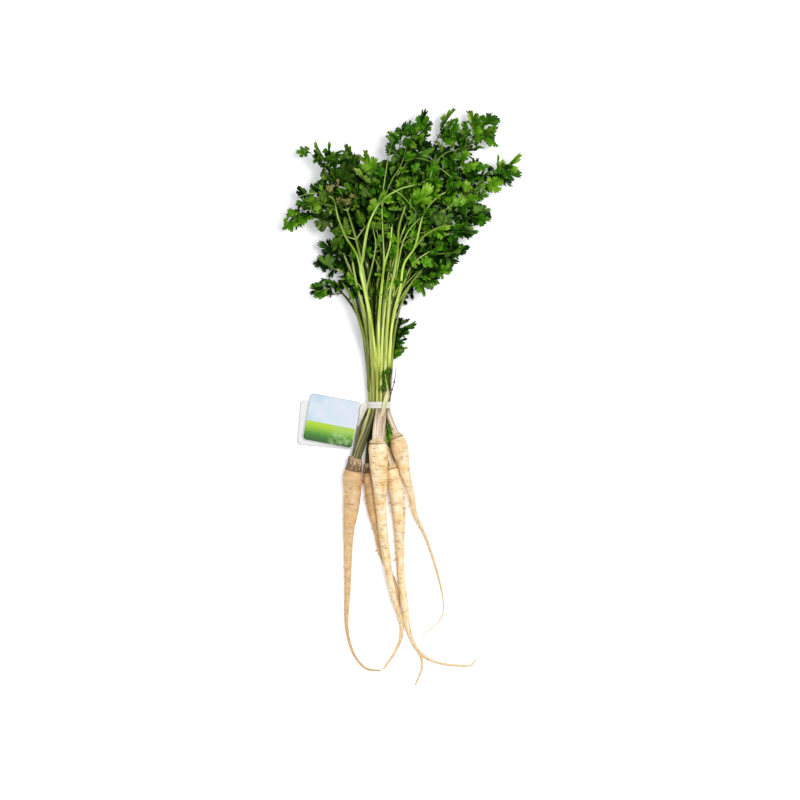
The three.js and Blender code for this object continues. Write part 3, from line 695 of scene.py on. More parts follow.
def neck_scales(form, stations, seed, count, heights, tones):
    """Torn feet of old leaves, standing round the neck of a root from its ring upwards."""
    rng = random.Random(seed * 31)
    path, radii = (rows[::-1] for rows in root_line(stations[: CROWN_RING + 1]))
    span = np.linalg.norm(path[-1] - path[0])
    axis = unit(path[-1] - path[0])
    side = unit(np.cross(axis, UP))
    over = np.cross(side, axis)
    t = np.linspace(0, 1, 9)
    for k in range(count):
        turn = 2 * pi * (k + rng.random() * 0.8) / count
        out = side * cos(turn) + over * sin(turn)
        height = rng.uniform(*heights)
        at = np.clip(t * height / span * (len(path) - 1), 0, len(path) - 1)
        reach = np.interp(at, range(len(path)), radii)
        lean = rng.uniform(-0.12, 0.25)
        line = path[0] + axis * (t * height)[:, None] + out * (reach + 0.1 + lean * t**2 * 4)[:, None]
        line[:, 2] = np.maximum(line[:, 2], 0.5)
        width = 2 * pi * radii[0] / count * rng.uniform(0.8, 1.3) * (1 - 0.75 * t**1.5)
        ribbon(form, line, np.tile(out, (9, 1)), width, 0.3, tone=rng.uniform(*tones))


def build_roots():
    scales = Form()
    for seed, (name, stations) in enumerate(ROOTS.items(), 1):
        form, brown, sheathed = Form(), BROWN_ROOT[name], name in SHEATHED
        path, radii = taproot(form, stations, seed, brown, slim_neck=sheathed)
        if name == "forked":
            taproot(form, FORK, seed + 0.4, brown, 20, ring=False)
            nub(form, (12.2, -98, 7), (-0.97, 0.1), 2.4, 1.1, seed, brown)
        if name == "behind":
            nub(form, (0.2, -145.5, 4), (-0.95, -0.2), 4.4, 0.9, seed, 0.9)
            # a browner stump where the root behind touches the left root: partly painted shade
            nub(form, (-11.6, -75, 7), (-0.9, -0.35), 6.2, 3.4, seed, 1.4)
        rootlets(form, path, radii, seed, brown)
        form.piece(f"{name}_root", ROOT, "root", f"root_{name}")
        if sheathed:
            neck_scales(scales, stations, seed, 34, (0.2, 0.7), (0.4, 0.65))
        elif name == "left":
            neck_scales(scales, stations, seed, 26, (5, 14), (0.08, 0.58))
        else:
            neck_scales(scales, stations, seed, 26, (3, 9), (-0.3, 0.2))
    scales.piece("neck_scales", FIBRE, "root")


# ---- Course of the leaves ----
def slot_of(leaf):
    """Where a leaf goes through the tie."""
    _, row, place, *_ = leaf
    x = (place - (STALKS_PER_ROW[row] - 1) / 2) * STALK_PITCH
    return np.array([x, 0.0, TIE_HEIGHT + (row - MIDDLE_ROW) * ROW_PITCH])


def sheet(leaf, x, y):
    """Height of a leaf's own level over the table."""
    _, row, place, level, *_ = leaf
    x, y = np.asarray(x, float), np.asarray(y, float)
    dx, dy = (x - PILE_MIDDLE[0]) / PILE_REACH[0], (y - PILE_MIDDLE[1]) / PILE_REACH[1]
    depth = PILE_EDGE + (1 - PILE_EDGE) * np.exp(-dx * dx - dy * dy)
    across = np.sin(2 * pi * (0.9 * x + 0.35 * y) / WAVE_LENGTH[0])
    along = np.cos(2 * pi * (0.8 * y - 0.3 * x) / WAVE_LENGTH[1])
    settled = PILE_BOTTOM + (row * LEVELS_PER_ROW + level) * LEVEL_PITCH * depth
    settled = settled + WAVE_HEIGHT * (1 + across * along) / 2
    t = smooth(y, 0, SPREAD_END)
    return slot_of(leaf)[2] * (1 - t) + settled * t


def plan(leaf):
    """Seen from above: the curves of a leaf's stalk and rib, and the length of its blade."""
    base, tip = np.array(leaf[4], float), np.array(leaf[5], float)
    start = slot_of(leaf)[:2]
    rise, blade = base - start, tip - base
    heading = unit(unit(rise) + unit(blade))
    stalk = [start, (start[0] * STALK_SPREAD, 0.45 * base[1]), base - heading * 0.3 * np.linalg.norm(rise), base]
    rib = [base, base + heading * 0.45 * np.linalg.norm(blade), tip]
    return stalk, rib, np.linalg.norm(blade)


def foot_curve(leaf):
    """From inside the crown to the leaf's place in the tie."""
    plant = leaf[0]
    top, below = (np.array([x, y, radius + lift]) for x, y, radius, lift in ROOTS[plant][:2])
    facing = unit(top - below)
    slots = np.array([slot_of(one) for one in LEAVES if one[0] == plant])
    offset = slot_of(leaf) - slots.mean(0)
    side = unit(np.cross(facing, UP))
    over = np.cross(side, facing)
    spread, drop = (0.98, np.linalg.norm(top - ring_point(plant)) - 0.5) if plant in SHEATHED else (1.0, 3.5)
    foot = top + side * offset[0] * spread + over * offset[2] * spread
    end = slot_of(leaf)
    reach = np.linalg.norm(foot - end) / 3
    return [foot - facing * drop, foot + facing * reach, end - np.array([0, reach, 0]), end]


# the upper stalks stay bare inside a wedge: the x of its middle, and its half width from its start to its end
BARE_MIDDLE, BARE_HALF, BARE_START, BARE_END = 8, 23, 100, 205


def stalks_show(point):
    """In the middle of the bunch, no blade lies on the upper stalks."""
    return abs(point[0] - BARE_MIDDLE) < BARE_HALF * (BARE_END - point[1]) / (BARE_END - BARE_START)


# ---- Leaflets ----
STALK_SIDES = 14
UNDERGROWTH_PER_LEAF = 9
TWIGS = 46
LEAFLET_SIZE = (12.5, 0.1)  # of every blade, and what each millimetre of the blade's length adds
HIGHEST, TOP_ROOM = 55.0, 9.0  # leaflets bend level above the first height and end below the sum
TONE_TOP = 0.95  # no leaflet as a whole is lighter
HALF_THICK = 0.13
MIDDLE = 0.36  # where the middle of a leaflet lies, from its foot
# lobes of a leaflet, round its middle: where a lobe starts in degrees, its reach and its number of teeth;
# the last one is its foot
LOBES = {
    "large": [(-134, 0.4, 3), (-80, 0.5, 4), (-27, 0.64, 5), (27, 0.5, 4), (80, 0.4, 3), (134, MIDDLE, 3)],
    "small": [(-134, 0.4, 2), (-80, 0.48, 3), (-29, 0.64, 3), (29, 0.48, 3), (80, 0.4, 2), (134, MIDDLE, 2)],
}
RINGS = [0.4, 0.74, 1.0]
# where the table shows between the leaves, at their edge: x, y and reach
OPEN = [
    (22, 286, 11), (8, 272, 7), (28, 296, 8), (37, 296, 6), (57, 268, 7), (58, 279, 7), (0, 246, 9), (5, 253, 6),
    (-70, 242, 8), (-67, 236, 9), (-92, 200, 7), (-87, 208, 6), (-68, 180, 8), (-52, 172, 9), (-42, 129, 8),
    (-45, 103, 6), (77, 168, 5), (116, 199, 7), (103, 252, 8), (112, 243, 5), (146, 240, 6), (92, 291, 6),
    (-58, 129, 5), (20, 243, 5), (114, 183, 5), (36, 108, 5), (-60, 163, 5), (112, 298, 6), (-72, 249, 4),
    (98, 202, 4), (36, 86, 5), (52, 265, 7), (-66, 144, 5), (-68, 118, 4), (138, 249, 6), (-24, 252, 6), (-30, 83, 9),
]


def leaflet_faces(teeth):
    """Faces of a leaflet: its middle, an inner ring with a point for each tooth, two rings with three."""
    rim = 3 * teeth
    inner, ring, edge, n = 1, 1 + teeth, 1 + teeth + rim, 1 + teeth + 2 * rim
    top, rims = [], []
    for j in range(teeth):
        a, b = inner + j, inner + (j + 1) % teeth
        q = [ring + (3 * j + i) % rim for i in range(4)]
        top += [(0, a, b), (a, q[0], q[1]), (a, q[1], q[2]), (a, q[2], b), (b, q[2], q[3])]
    for j in range(rim):
        k = (j + 1) % rim
        top.append((ring + j, edge + j, edge + k, ring + k))
        rims.append((edge + j, n + edge + j, n + edge + k, edge + k))
    return top + [tuple(n + i for i in face[::-1]) for face in top] + rims


FACES = {kind: leaflet_faces(sum(teeth for _, _, teeth in lobes)) for kind, lobes in LOBES.items()}


def outline(lobes, rng):
    """Round a leaflet, three points to a tooth: angle, reach, place across the lobe and number of the lobe."""
    starts = [radians(start + rng.uniform(-5, 5)) for start, _, _ in lobes]
    starts.append(starts[0] + 2 * pi)
    valleys = [rng.uniform(0.14, 0.27) for _ in lobes]
    valleys.append(valleys[0])
    rows = []
    for k, (_, reach, teeth) in enumerate(lobes):
        foot = k == len(lobes) - 1
        reach *= 1 if foot else rng.uniform(0.84, 1.14)
        for tooth in range(teeth):
            for step in (0, 0.3, 0.72):
                way = (tooth + step) / teeth
                u = 2 * way - 1
                share = (1 - abs(u)) ** 1.6 if foot else max(1 - abs(u) ** 4, 0) ** 0.5
                if step == 0 and tooth and not foot:
                    share -= rng.uniform(0.16, 0.34)
                valley = valleys[k] * (1 - way) + valleys[k + 1] * way
                rows.append((starts[k] * (1 - way) + starts[k + 1] * way, valley + (reach - valley) * share, abs(u), k))
    return np.array(rows)


def leaflet(rng, size, limp=1.0, fine=True):
    """A lobed, toothed, folded and curled leaflet that grows along x: its points, values and kind."""
    kind = "large" if size > 13 and fine else "small"
    edge = outline(LOBES[kind], rng)
    count = len(LOBES[kind])
    pleat = np.array([rng.gauss(0.08, 0.32) for _ in range(count)]) * limp
    curl = np.array([rng.uniform(-0.5, 0.22) for _ in range(count)]) * limp
    # random lighter and darker lobes: partly random tone, partly painted light and shade
    shade = np.array([rng.gauss(0, 0.06) for _ in range(count)])
    wide = rng.uniform(0.72, 1.0)
    wave, wave_turn, wave_start = rng.uniform(0.02, 0.07) * size, rng.choice((3, 4, 5)), rng.uniform(0, 6.3)
    x, y, z, values = [[MIDDLE * size]], [[0.0]], [[0.0]], [[[0.0, 0.0, 0.0]]]
    for ring in RINGS:
        angle, reach, across, lobe = (edge[::3] if ring == RINGS[0] else edge).T
        lobe = lobe.astype(int)
        out = reach * ring * size
        x.append(MIDDLE * size + out * np.cos(angle))
        y.append(out * np.sin(angle) * wide)
        z.append(
            pleat[lobe] * out * (across**2 - 0.35)
            + curl[lobe] * out * ring * (lobe < count - 1)
            + wave * ring**2 * np.sin(wave_turn * angle + wave_start)
        )
        values.append(np.stack([across, across * 0 + ring, shade[lobe]], axis=-1))
    x, y, z = (np.concatenate(one) for one in (x, y, z))
    middle = rng.choice((-1, 1, 1)) * rng.uniform(36, 66) if rng.random() < 0.58 else rng.gauss(8, 24)
    folds = [radians(min(max(rng.gauss(middle, 12), -74), 76)) * limp for _ in range(2)]
    fold = np.where(y < 0, folds[0], folds[1])
    z = z + (np.sqrt(y * y + 0.16) - 0.4) * np.sin(fold)
    points = np.column_stack([x, y * np.cos(fold), z])
    rise = np.array([0, 0, HALF_THICK])
    x, y, z = np.vstack([points + rise, points - rise]).T
    bend = rng.uniform(-1.3, 0.45) * limp / size or 1e-6
    angle = x * bend
    x = np.sin(angle) / bend - z * np.sin(angle)
    z = (1 - np.cos(angle)) / bend + z * np.cos(angle)
    return np.column_stack([x, y, z]), np.vstack([np.concatenate(values)] * 2), kind


def put_leaflet(form, shape, rng, tone, dry):
    """Adds a leaflet that is turned and in its place, unless the table shows there."""
    points, values, kind = shape
    hue, turned_over = rng.gauss(0, 0.38), rng.random() < 0.14
    middle = points[:, :2].mean(0)
    hue = min(hue + 0.7 * rough(*(middle / 30), 2.0), 0.9)
    tone = tone + 0.22 * rough(*(middle / 21), 7.0)
    if any(hypot(middle[0] - x, middle[1] - y) < reach for x, y, reach in OPEN):
        return
    over = points[:, 2] - HIGHEST
    points[:, 2] = np.where(over > 0, HIGHEST + TOP_ROOM * np.tanh(over / TOP_ROOM), points[:, 2])
    points[:, 2] = np.maximum(points[:, 2], 0.5 + 0.4 * np.abs(np.sin(3 * points[:, 0] + 2 * points[:, 1])))
    half = len(points) // 2
    points[half:, 2] = np.minimum(points[half:, 2], points[:half, 2] - 0.02 * (points[:half, 2] < 1))
    under = np.repeat([float(turned_over), 1.0], half)
    own = np.clip(TONE_TOP * np.tanh(tone / TONE_TOP) + values[:, 2], 0, 1)
    form.add(points, FACES[kind], lobe=values, under=under, tone=own, hue=hue, dry=dry)


def placed(shape, start, heading, pitch, roll):
    """A leaflet turned and put with its foot at start."""
    points, *rest = shape
    return turned(points, heading, pitch, roll) + start, *rest


def ribbed_stalk(form, path, radii, ribs, tone, pale, wobble=1.0):
    """ribs: where the five ribs start, their height, and the depth, place and width of the groove."""
    turn, height, depth, middle, width = ribs
    angle = circle(STALK_SIDES)
    share = 1 + height * np.cos(5 * angle + turn) - depth * dip(angle, middle, width)
    tube(form, path, radii, STALK_SIDES, share * wobble, tone=tone, pale=pale)


GROWN = []  # the forms of all leaves, with what makes pieces of them


def grow(name, look, *nodes):
    GROWN.append((Form(), name, look, nodes))
    return GROWN[-1][0]


class Growth:
    """Stems and the blades on them, as two pieces that stand for the same CAD nodes."""

    def __init__(self, seed, stems, blades, *nodes):
        self.rng = random.Random(seed)
        self.stems, self.blades = grow(stems, STALK, *nodes), grow(blades, LEAF, *nodes)

    def spray(self, start, heading, size, tone, dry=0.0, limp=1.0):
        """A leaflet on a short stem, the larger ones with a pair of small leaflets below it."""
        rng = self.rng
        pitch = radians(min(max(rng.gauss(2, 18), -32), 30)) * limp
        roll = radians(rng.gauss(0, 30)) * limp
        parts = [(0.06, 0, 1.12)]
        if size > 14 and rng.random() < (0.6 if size < 22 else 1.0):
            parts = [(0.1, 0, 0.95), (0.08, 62, 0.62), (0.04, -62, 0.62)]
        for at, lean, share in parts:
            shape = leaflet(rng, size * share * rng.uniform(0.92, 1.14), limp)
            turn, lift = radians(lean + rng.gauss(0, 9)), radians(rng.gauss(0, 32)) * limp
            shape = placed(placed(shape, (at * size, 0, 0), turn, 0.0, lift), start, heading, pitch, roll)
            put_leaflet(self.blades, shape, rng, tone + rng.gauss(0, 0.1), dry)
        line = np.zeros((5, 3))
        line[:, 0] = np.linspace(0, 0.2 * size, 5)
        line = turned(line, heading, pitch, roll) + start
        line[:, 2] = np.clip(line[:, 2], 0.6, HIGHEST + TOP_ROOM)
        tube(self.stems, line, np.linspace(0.5, 0.35, 5), 5, tone=0.5, pale=0.3)


# ---- The leaves that are also in the CAD ----
def leaf_radii(counts, foot, stout):
    """Radii along a leaf's foot, stalk and rib, which have so many points."""
    profiles = [
        ([0, 0.15, 0.6, 1], [foot * 0.9, foot, 0.45 * foot + 0.9, 1.6]),
        ([0, 0.3, 1], [1.6, 1.6 * stout, 1.05 * stout]),
        ([0, 0.5, 1], [1.0 * stout, 0.7, 0.35]),
    ]
    return np.concatenate([np.interp(np.linspace(0, 1, n), *profile) for n, profile in zip(counts, profiles)])


def build_leaf(number, leaf):
    plant, row, dry = leaf[0], leaf[1], leaf[6]
    nth = 1 + [i for i, one in enumerate(LEAVES) if one[0] == plant].index(number)
    growth = Growth(number * 17 + 5, f"{plant}_stalk_{nth}", f"{plant}_blade_{nth}", f"leaf_{plant}_{nth}")
    rng = growth.rng
    stalk, rib, length = plan(leaf)

    def on_level(line):
        return np.column_stack([line, sheet(leaf, line[:, 0], line[:, 1])])

    def along_rib(t):
        return bezier(rib, [t])[0]

    def rib_heading(t):
        return heading_of(along_rib(min(t + 0.01, 1)) - along_rib(t - 0.01))

    parts = [
        bezier(foot_curve(leaf), np.linspace(0, 1, 26)[:-1]),
        on_level(bezier(stalk, np.linspace(0, 1, 62)[:-1])),
        on_level(bezier(rib, np.linspace(0, RIB_END + 0.04, 34))),
    ]
    path = np.vstack(parts)
    radii = leaf_radii([len(part) for part in parts], SHEATHED.get(plant, 2.1), 0.85 + 0.3 * chance(number, 41))
    wobble = 1 + 0.06 * np.sin(np.arange(len(path)) * 0.21 + number)[:, None]
    tone = 0.2 + 0.8 * chance(number, 40)
    ribbed_stalk(growth.stems, path, radii, (number, 0.07, 0.16, pi, 0.5), tone, PALE_FOOT[plant], wobble)
    size = LEAFLET_SIZE[0] + LEAFLET_SIZE[1] * length

    def add_spray(point, heading, length):
        if row >= 3 and stalks_show(point):
            return
        height = float(sheet(leaf, *point))
        # lighter the higher the blade lies: painted shade on the lower leaves, plus random tone
        tone = 0.35 + 0.26 * float(smooth(height, 6, 46)) + 0.2 * (chance(number, 50) - 0.5) + rng.gauss(0, 0.18)
        start = np.array([point[0], point[1], max(height, 1.0)])
        growth.spray(start, heading, length * rng.uniform(0.88, 1.1), tone, dry)

    for rank, (where, share, spread, leaflets) in enumerate(LARGE_SHOOTS if length > LARGE_BLADE else SMALL_SHOOTS):
        for side in (-1, 1):
            pick = rank * 2 + (side + 1) // 2
            turn = side * radians(spread + 16 * (chance(number, pick) - 0.5))
            reach = share * length * (0.8 + 0.4 * chance(number, pick + 10))
            direction = rib_heading(where) + turn
            start = along_rib(where)
            ahead = np.array([cos(direction), sin(direction)])
            out = np.array([-ahead[1], ahead[0]])
            bow = side * rng.uniform(-0.02, 0.1) * reach
            if reach > 1:
                t = np.linspace(0, 1, 9)
                line = on_level(start + ahead * (reach * t)[:, None] - out * (bow * np.sin(t * pi))[:, None])
                line[:, 2] = np.maximum(line[:, 2], 0.8)
                tube(growth.stems, line, np.linspace(0.75, 0.45, 9), 7, tone=tone, pale=0.3)
            for spot, lean, share_size in leaflets:
                point = start + ahead * reach * spot - out * bow * sin(spot * pi)
                add_spray(point, direction + radians(lean + rng.uniform(-8, 8)), share_size * size)
    add_spray(along_rib(RIB_END), rib_heading(RIB_END), (1 - RIB_END) * length + 3)


def build_shoot(seed, name, points, widths, sprays, nodes, pale, tone, flat=1.0):
    """A short shoot: points and half widths of its stalk, and sprays as (way along, angle, size)."""
    growth = Growth(seed, f"{name}_stalk", f"{name}_blade", *nodes)
    path = through([(*p, w) for p, w in zip(points, widths)], 1.0)
    angle = circle(12)
    section = 1 / np.sqrt(np.sin(angle) ** 2 + (np.cos(angle) / flat) ** 2)
    tube(growth.stems, path[:, :3], path[:, 3], 12, section, tone=0.75, pale=pale)
    for way, lean, size in sprays:
        i = int(way * (len(path) - 1))
        ahead = path[min(i + 1, len(path) - 1)] - path[max(i - 1, 0)]
        heading = heading_of(ahead) + radians(lean)
        growth.spray(path[i, :3], heading, size, tone + growth.rng.gauss(0, 0.08), limp=1.2)


def build_shoots():
    build_shoot(
        3, "right_shoot",
        [(10.2, 2, 9), (11, 16, 9), (11.4, 34, 9.6), (11.8, 50, 13), (13.4, 62, 17), (15.5, 74, 18)],
        [0.9, 0.9, 0.8, 0.8, 0.7, 0.5],
        [
            (0.62, -42, 18), (0.66, -20, 14), (0.7, -78, 17), (0.72, -40, 16), (0.74, 10, 12), (0.78, -62, 19),
            (0.8, -14, 14), (0.85, -80, 16), (0.87, -44, 17), (0.88, 6, 12), (0.93, -62, 18), (0.96, -30, 17),
            (1.0, -54, 19), (1.0, -26, 18), (1.0, 2, 12),
        ],
        ["small_leaf_right"], 0.2, 0.38,
    )
    build_shoot(
        8, "top_shoot",
        [
            (2.2, -16, 19.6), (3.4, -9, 20.4), (4.8, -3, 20.9), (6.2, 3, 20.9), (7.8, 9, 20.8), (8.4, 15, 21.4),
            (7.4, 22, 23.6), (6.4, 30, 26.4),
        ],
        [1.4, 1.9, 2.2, 2.5, 2.9, 1.6, 0.8, 0.5],
        [(0.64, 46, 9), (0.7, 20, 9), (0.76, 32, 8), (0.82, -6, 9), (0.88, 18, 9), (0.94, -12, 8), (1.0, 4, 8)],
        ["small_leaf_top"], 2.0, 0.55, 0.5,
    )
    build_shoot(
        12, "low_shoot",
        [(6.4, -12, 16), (6.6, -18, 18), (7, -24, 19), (7.4, -29, 19)],
        [0.7, 0.7, 0.6, 0.4],
        [(0.1, -20, 10), (0.3, 20, 10), (0.5, -24, 11), (0.7, 16, 11), (0.85, -14, 10), (1.0, 10, 9)],
        [], 0.1, 0.95,
    )


# ---- Stems and leaflets that only the scene has ----
def build_undergrowth():
    """Leaflets low in the pile, under the leaves that show, with a dark tone that is painted shade."""
    rng = random.Random(11)
    form = grow("undergrowth", LEAF)
    for leaf in LEAVES:
        _, rib, _ = plan(leaf)
        for _ in range(UNDERGROWTH_PER_LEAF):
            x, y = bezier(rib, [rng.uniform(0, 0.8)])[0] + (rng.gauss(0, 9), rng.gauss(0, 9))
            top = float(sheet(leaf, x, y)) - 5
            if top < 5:
                continue
            shape = leaflet(rng, rng.uniform(15, 22), 0.8, False)
            turns = rng.uniform(0, 6.3), radians(rng.gauss(0, 14)), radians(rng.gauss(0, 22))
            start = (x, y, rng.uniform(0.45 * top + 1, top))
            # a dark tone: painted shade on the leaflets under the pile
            put_leaflet(form, placed(shape, start, *turns), rng, rng.uniform(0.05, 0.3), 0.1)


# Long bare stems on top of the others: radius at both ends, tone, and the points as x, y and share of the
# pile's height there
ARCHES = [
    (2.3, 0.8, 0.95, [
        (-3, 20, 0.6), (-4.5, 45, 0.84), (-7, 75, 0.95), (-10, 95, 1), (-15, 119, 1), (-18, 135, 1), (-15.5, 147, 1),
        (-13, 165, 1.04), (-8.5, 183, 1.06), (3.2, 202, 1.06), (21.5, 214, 1.03), (35, 218, 0.97)]),
    (1.3, 0.5, 0.7, [
        (-14, 116, 0.94), (-18.2, 135, 1), (-22, 149, 1.04), (-33, 167, 1.06), (-41, 188, 1.06), (-45, 204, 1.04),
        (-54, 209, 0.98), (-70, 210, 0.86), (-79, 207, 0.78)]),
    (2.2, 0.9, 0.9, [
        (1.5, 20, 0.6), (0, 50, 0.86), (-0.5, 75, 0.95), (1, 99, 1), (3, 119, 1), (6, 140, 1), (11, 157, 1),
        (13, 176, 0.96)]),
    (1.1, 0.5, 0.6, [
        (2.6, 116, 0.94), (5, 142, 1), (4, 168, 1), (3.2, 202, 1.02), (5.8, 222, 1.04), (8.4, 240, 1.02),
        (11, 253, 0.96)]),
    (0.8, 0.45, 0.5, [(3.4, 196, 0.98), (6, 206, 1), (13.7, 224, 1.04), (21.5, 237, 1), (26.7, 253, 0.96)]),
    (2.3, 0.8, 0.6, [
        (4, 20, 0.6), (6.5, 50, 0.86), (8, 75, 0.95), (12, 115, 1), (15, 130, 1), (18.5, 150, 1), (20, 175, 1),
        (26, 196, 0.97)]),
    (2.0, 0.6, 1.0, [
        (8, 20, 0.5), (10.5, 50, 0.8), (12.5, 75, 0.9), (15, 90, 0.98), (21, 115, 1), (25, 140, 1), (35, 155, 1),
        (45, 190, 1.02), (58, 206, 1), (66, 211, 0.96)]),
    (1.2, 0.5, 0.6, [(14, 108, 0.92), (20, 145, 0.98), (25, 164, 1), (32, 176, 1), (41, 185, 0.98)]),
    (1.1, 0.5, 0.55, [(20, 108, 0.92), (31, 135, 0.98), (38, 144, 1), (50, 152, 0.92)]),
    (1.0, 0.4, 0.45, [(17, 98, 0.92), (25, 111, 0.92), (33, 122, 0.9), (42, 131, 0.82)]),
    (0.75, 0.5, 0.5, [(18, 228, 0.94), (33, 244, 1), (47.6, 243, 1), (60.7, 235, 1), (71, 227, 0.97)]),
    (0.7, 0.4, 0.5, [(14, 213, 1), (20, 210, 1.04), (33, 196, 1.04), (41, 185, 0.98)]),
    (0.75, 0.45, 0.45, [(43, 186, 0.95), (46, 204, 1), (50, 222, 1), (56, 240, 1), (66, 250, 1), (78, 254, 0.95)]),
    (0.85, 0.5, 0.5, [(33, 152, 0.95), (46, 168, 1), (60, 176, 1), (72, 178, 0.95)]),
    (1.3, 0.5, 0.4, [(-6, 60, 0.88), (-10, 84, 0.94), (-12, 112, 0.98), (-7.5, 134, 1), (-3, 158, 1), (-6, 176, 1)]),
    (0.6, 0.3, 0.4, [(-40, 214, 0.8), (-55, 236, 0.8), (-63, 246, 0.76), (-69, 251, 0.7)]),
    (2.2, 1.0, 0.05, [
        (-9.5, 14, 0.55), (-11, 45, 0.66), (-14.5, 66, 0.72), (-20.5, 88, 0.74), (-28, 108, 0.7), (-36, 122, 0.64)]),
    (2.3, 1.0, 0.1, [
        (-8, 14, 0.62), (-9.5, 45, 0.76), (-12, 72, 0.82), (-17, 98, 0.84), (-24, 124, 0.86), (-34, 148, 0.84)]),
    (2.0, 0.9, 0.6, [
        (-6, 14, 0.6), (-7, 40, 0.72), (-9.8, 66, 0.8), (-14, 92, 0.86), (-22, 120, 0.92), (-26, 142, 0.95)]),
    (2.0, 0.9, 0.15, [
        (-2, 14, 0.66), (-1, 45, 0.78), (2.8, 75, 0.86), (7, 100, 0.9), (14, 126, 0.95), (17, 150, 0.95)]),
    (1.8, 0.8, 0.2, [
        (6, 14, 0.6), (4.5, 40, 0.8), (3.6, 70, 0.88), (4.6, 100, 0.92), (9, 126, 0.96), (12, 144, 0.96)]),
    (2.0, 0.8, 0.15, [
        (10, 14, 0.5), (12.5, 45, 0.66), (16, 75, 0.76), (22, 100, 0.84), (33, 122, 0.88), (46, 138, 0.86)]),
]


def build_arches():
    growth = Growth(23, "arch_stems", "arch_blades")
    rng = growth.rng
    for k, (first, last, tone, points) in enumerate(ARCHES):
        path = through(points, 2.0)
        path[:, 2] = 2 + path[:, 2] * (sheet(TOP_LEAF, path[:, 0], path[:, 1]) - 1)
        radii = np.linspace(first, last, len(path)) * (1 + 0.06 * np.sin(path[:, 1] * 0.16 + k))
        ribbed_stalk(growth.stems, path, radii, (k, 0.1, 0.1, 0.3 * pi, 0.4), tone, 0.5 * tone)
        heading = heading_of(path[-1] - path[-4])
        growth.spray(path[-1], heading, rng.uniform(11, 16), rng.uniform(0.25, 0.55))
        for way in (0.62, 0.8):
            point = path[int(way * len(path))]
            side = rng.choice((-1, 1))
            if not stalks_show(point):
                turn = heading + side * radians(rng.uniform(40, 70))
                growth.spray(point, turn, rng.uniform(9, 14), rng.uniform(0.35, 0.75))


# Old stalks of the left plant that end in the tie: their radius, tone and points
OLD_STALKS = [
    (1.9, 0.42, [
        (-24.8, -56, 12.4), (-24.1, -48, 13), (-23, -40, 13), (-21.8, -32, 12.3), (-20.2, -25, 11), (-17.8, -17, 8.6),
        (-14, -9, 8.2), (-8.6, 1, 8.8)]),
    (1.75, 2.1, [
        (-24.4, -54, 15.2), (-22.6, -47, 16), (-20.3, -39, 16.6), (-17.2, -30, 16.6), (-14, -21, 15.8),
        (-11.3, -12, 14.6), (-9.4, -5.7, 13.4), (-7.6, 2, 13)]),
    (1.6, 0.15, [
        (-19.6, -54, 14), (-17, -46, 14.2), (-14.4, -38, 14), (-12.4, -30, 13.4), (-10.4, -20, 12), (-8, -10, 11),
        (-5.6, 1, 11)]),
]


def build_old_stalks():
    form = grow("old_stalks", STALK)
    for k, (radius, tone, points) in enumerate(OLD_STALKS):
        path = through(points, 1.2)
        radii = radius * (1 + 0.05 * np.sin(path[:, 1] * 0.2 + k))
        ribbed_stalk(form, path, radii, (k, 0.08, 0.14, 0.2 * pi, 0.4), tone, 0.1)


def build_strays():
    """Thin stalks that go through the gaps between the others in the tie and up between them."""
    growth = Growth(41, "stray_stems", "stray_blades")
    rng = growth.rng
    gaps = [
        np.array([(place - (count - 2) / 2) * STALK_PITCH, 0, TIE_HEIGHT + (row - MIDDLE_ROW + 1 / 3) * ROW_PITCH])
        for row, count in enumerate(STALKS_PER_ROW[:-1])
        for place in range(count - 1)
    ]
    slots = np.array([slot_of(leaf) for leaf in LEAVES])
    for number, gap in enumerate(gaps * 2):
        near = np.argsort(np.linalg.norm(slots - gap, axis=1))[number // len(gaps)]
        leaf, slot = LEAVES[near], slots[near]
        line = bezier(plan(leaf)[0], np.linspace(0, rng.uniform(0.7, 1.0), 44))
        ahead = unit(np.gradient(line, axis=0))
        away = rng.choice((-1, 1)) * rng.uniform(1.8, 3.6) * smooth(line[:, 1], 8, 60)
        away = away + 1.4 * np.sin(line[:, 1] / 19 + rng.uniform(0, 6)) * smooth(line[:, 1], 20, 90)
        line = line + np.column_stack([ahead[:, 1], -ahead[:, 0]]) * away[:, None]
        loose = 1 - smooth(line[:, 1], 4, 46)
        line[:, 0] += (gap[0] - slot[0]) * loose
        rise = (gap[2] - slot[2]) * loose + rng.uniform(-2, 2.5) * (1 - loose)
        path = np.column_stack([line, sheet(leaf, line[:, 0], line[:, 1]) + rise])
        path = np.vstack([gap - (0, 5, 0), path])
        radii = np.interp(path[:, 1], [-5, 6, 40, 150], [0.5, 0.55, rng.uniform(0.8, 1.15), 0.55])
        tube(growth.stems, path, radii, 8, tone=0.1 + 0.6 * rng.random(), pale=0.3)
        heading = heading_of(ahead[-1]) + rng.gauss(0, 0.4)
        growth.spray(path[-1], heading, rng.uniform(9, 15), rng.uniform(0.2, 0.6))


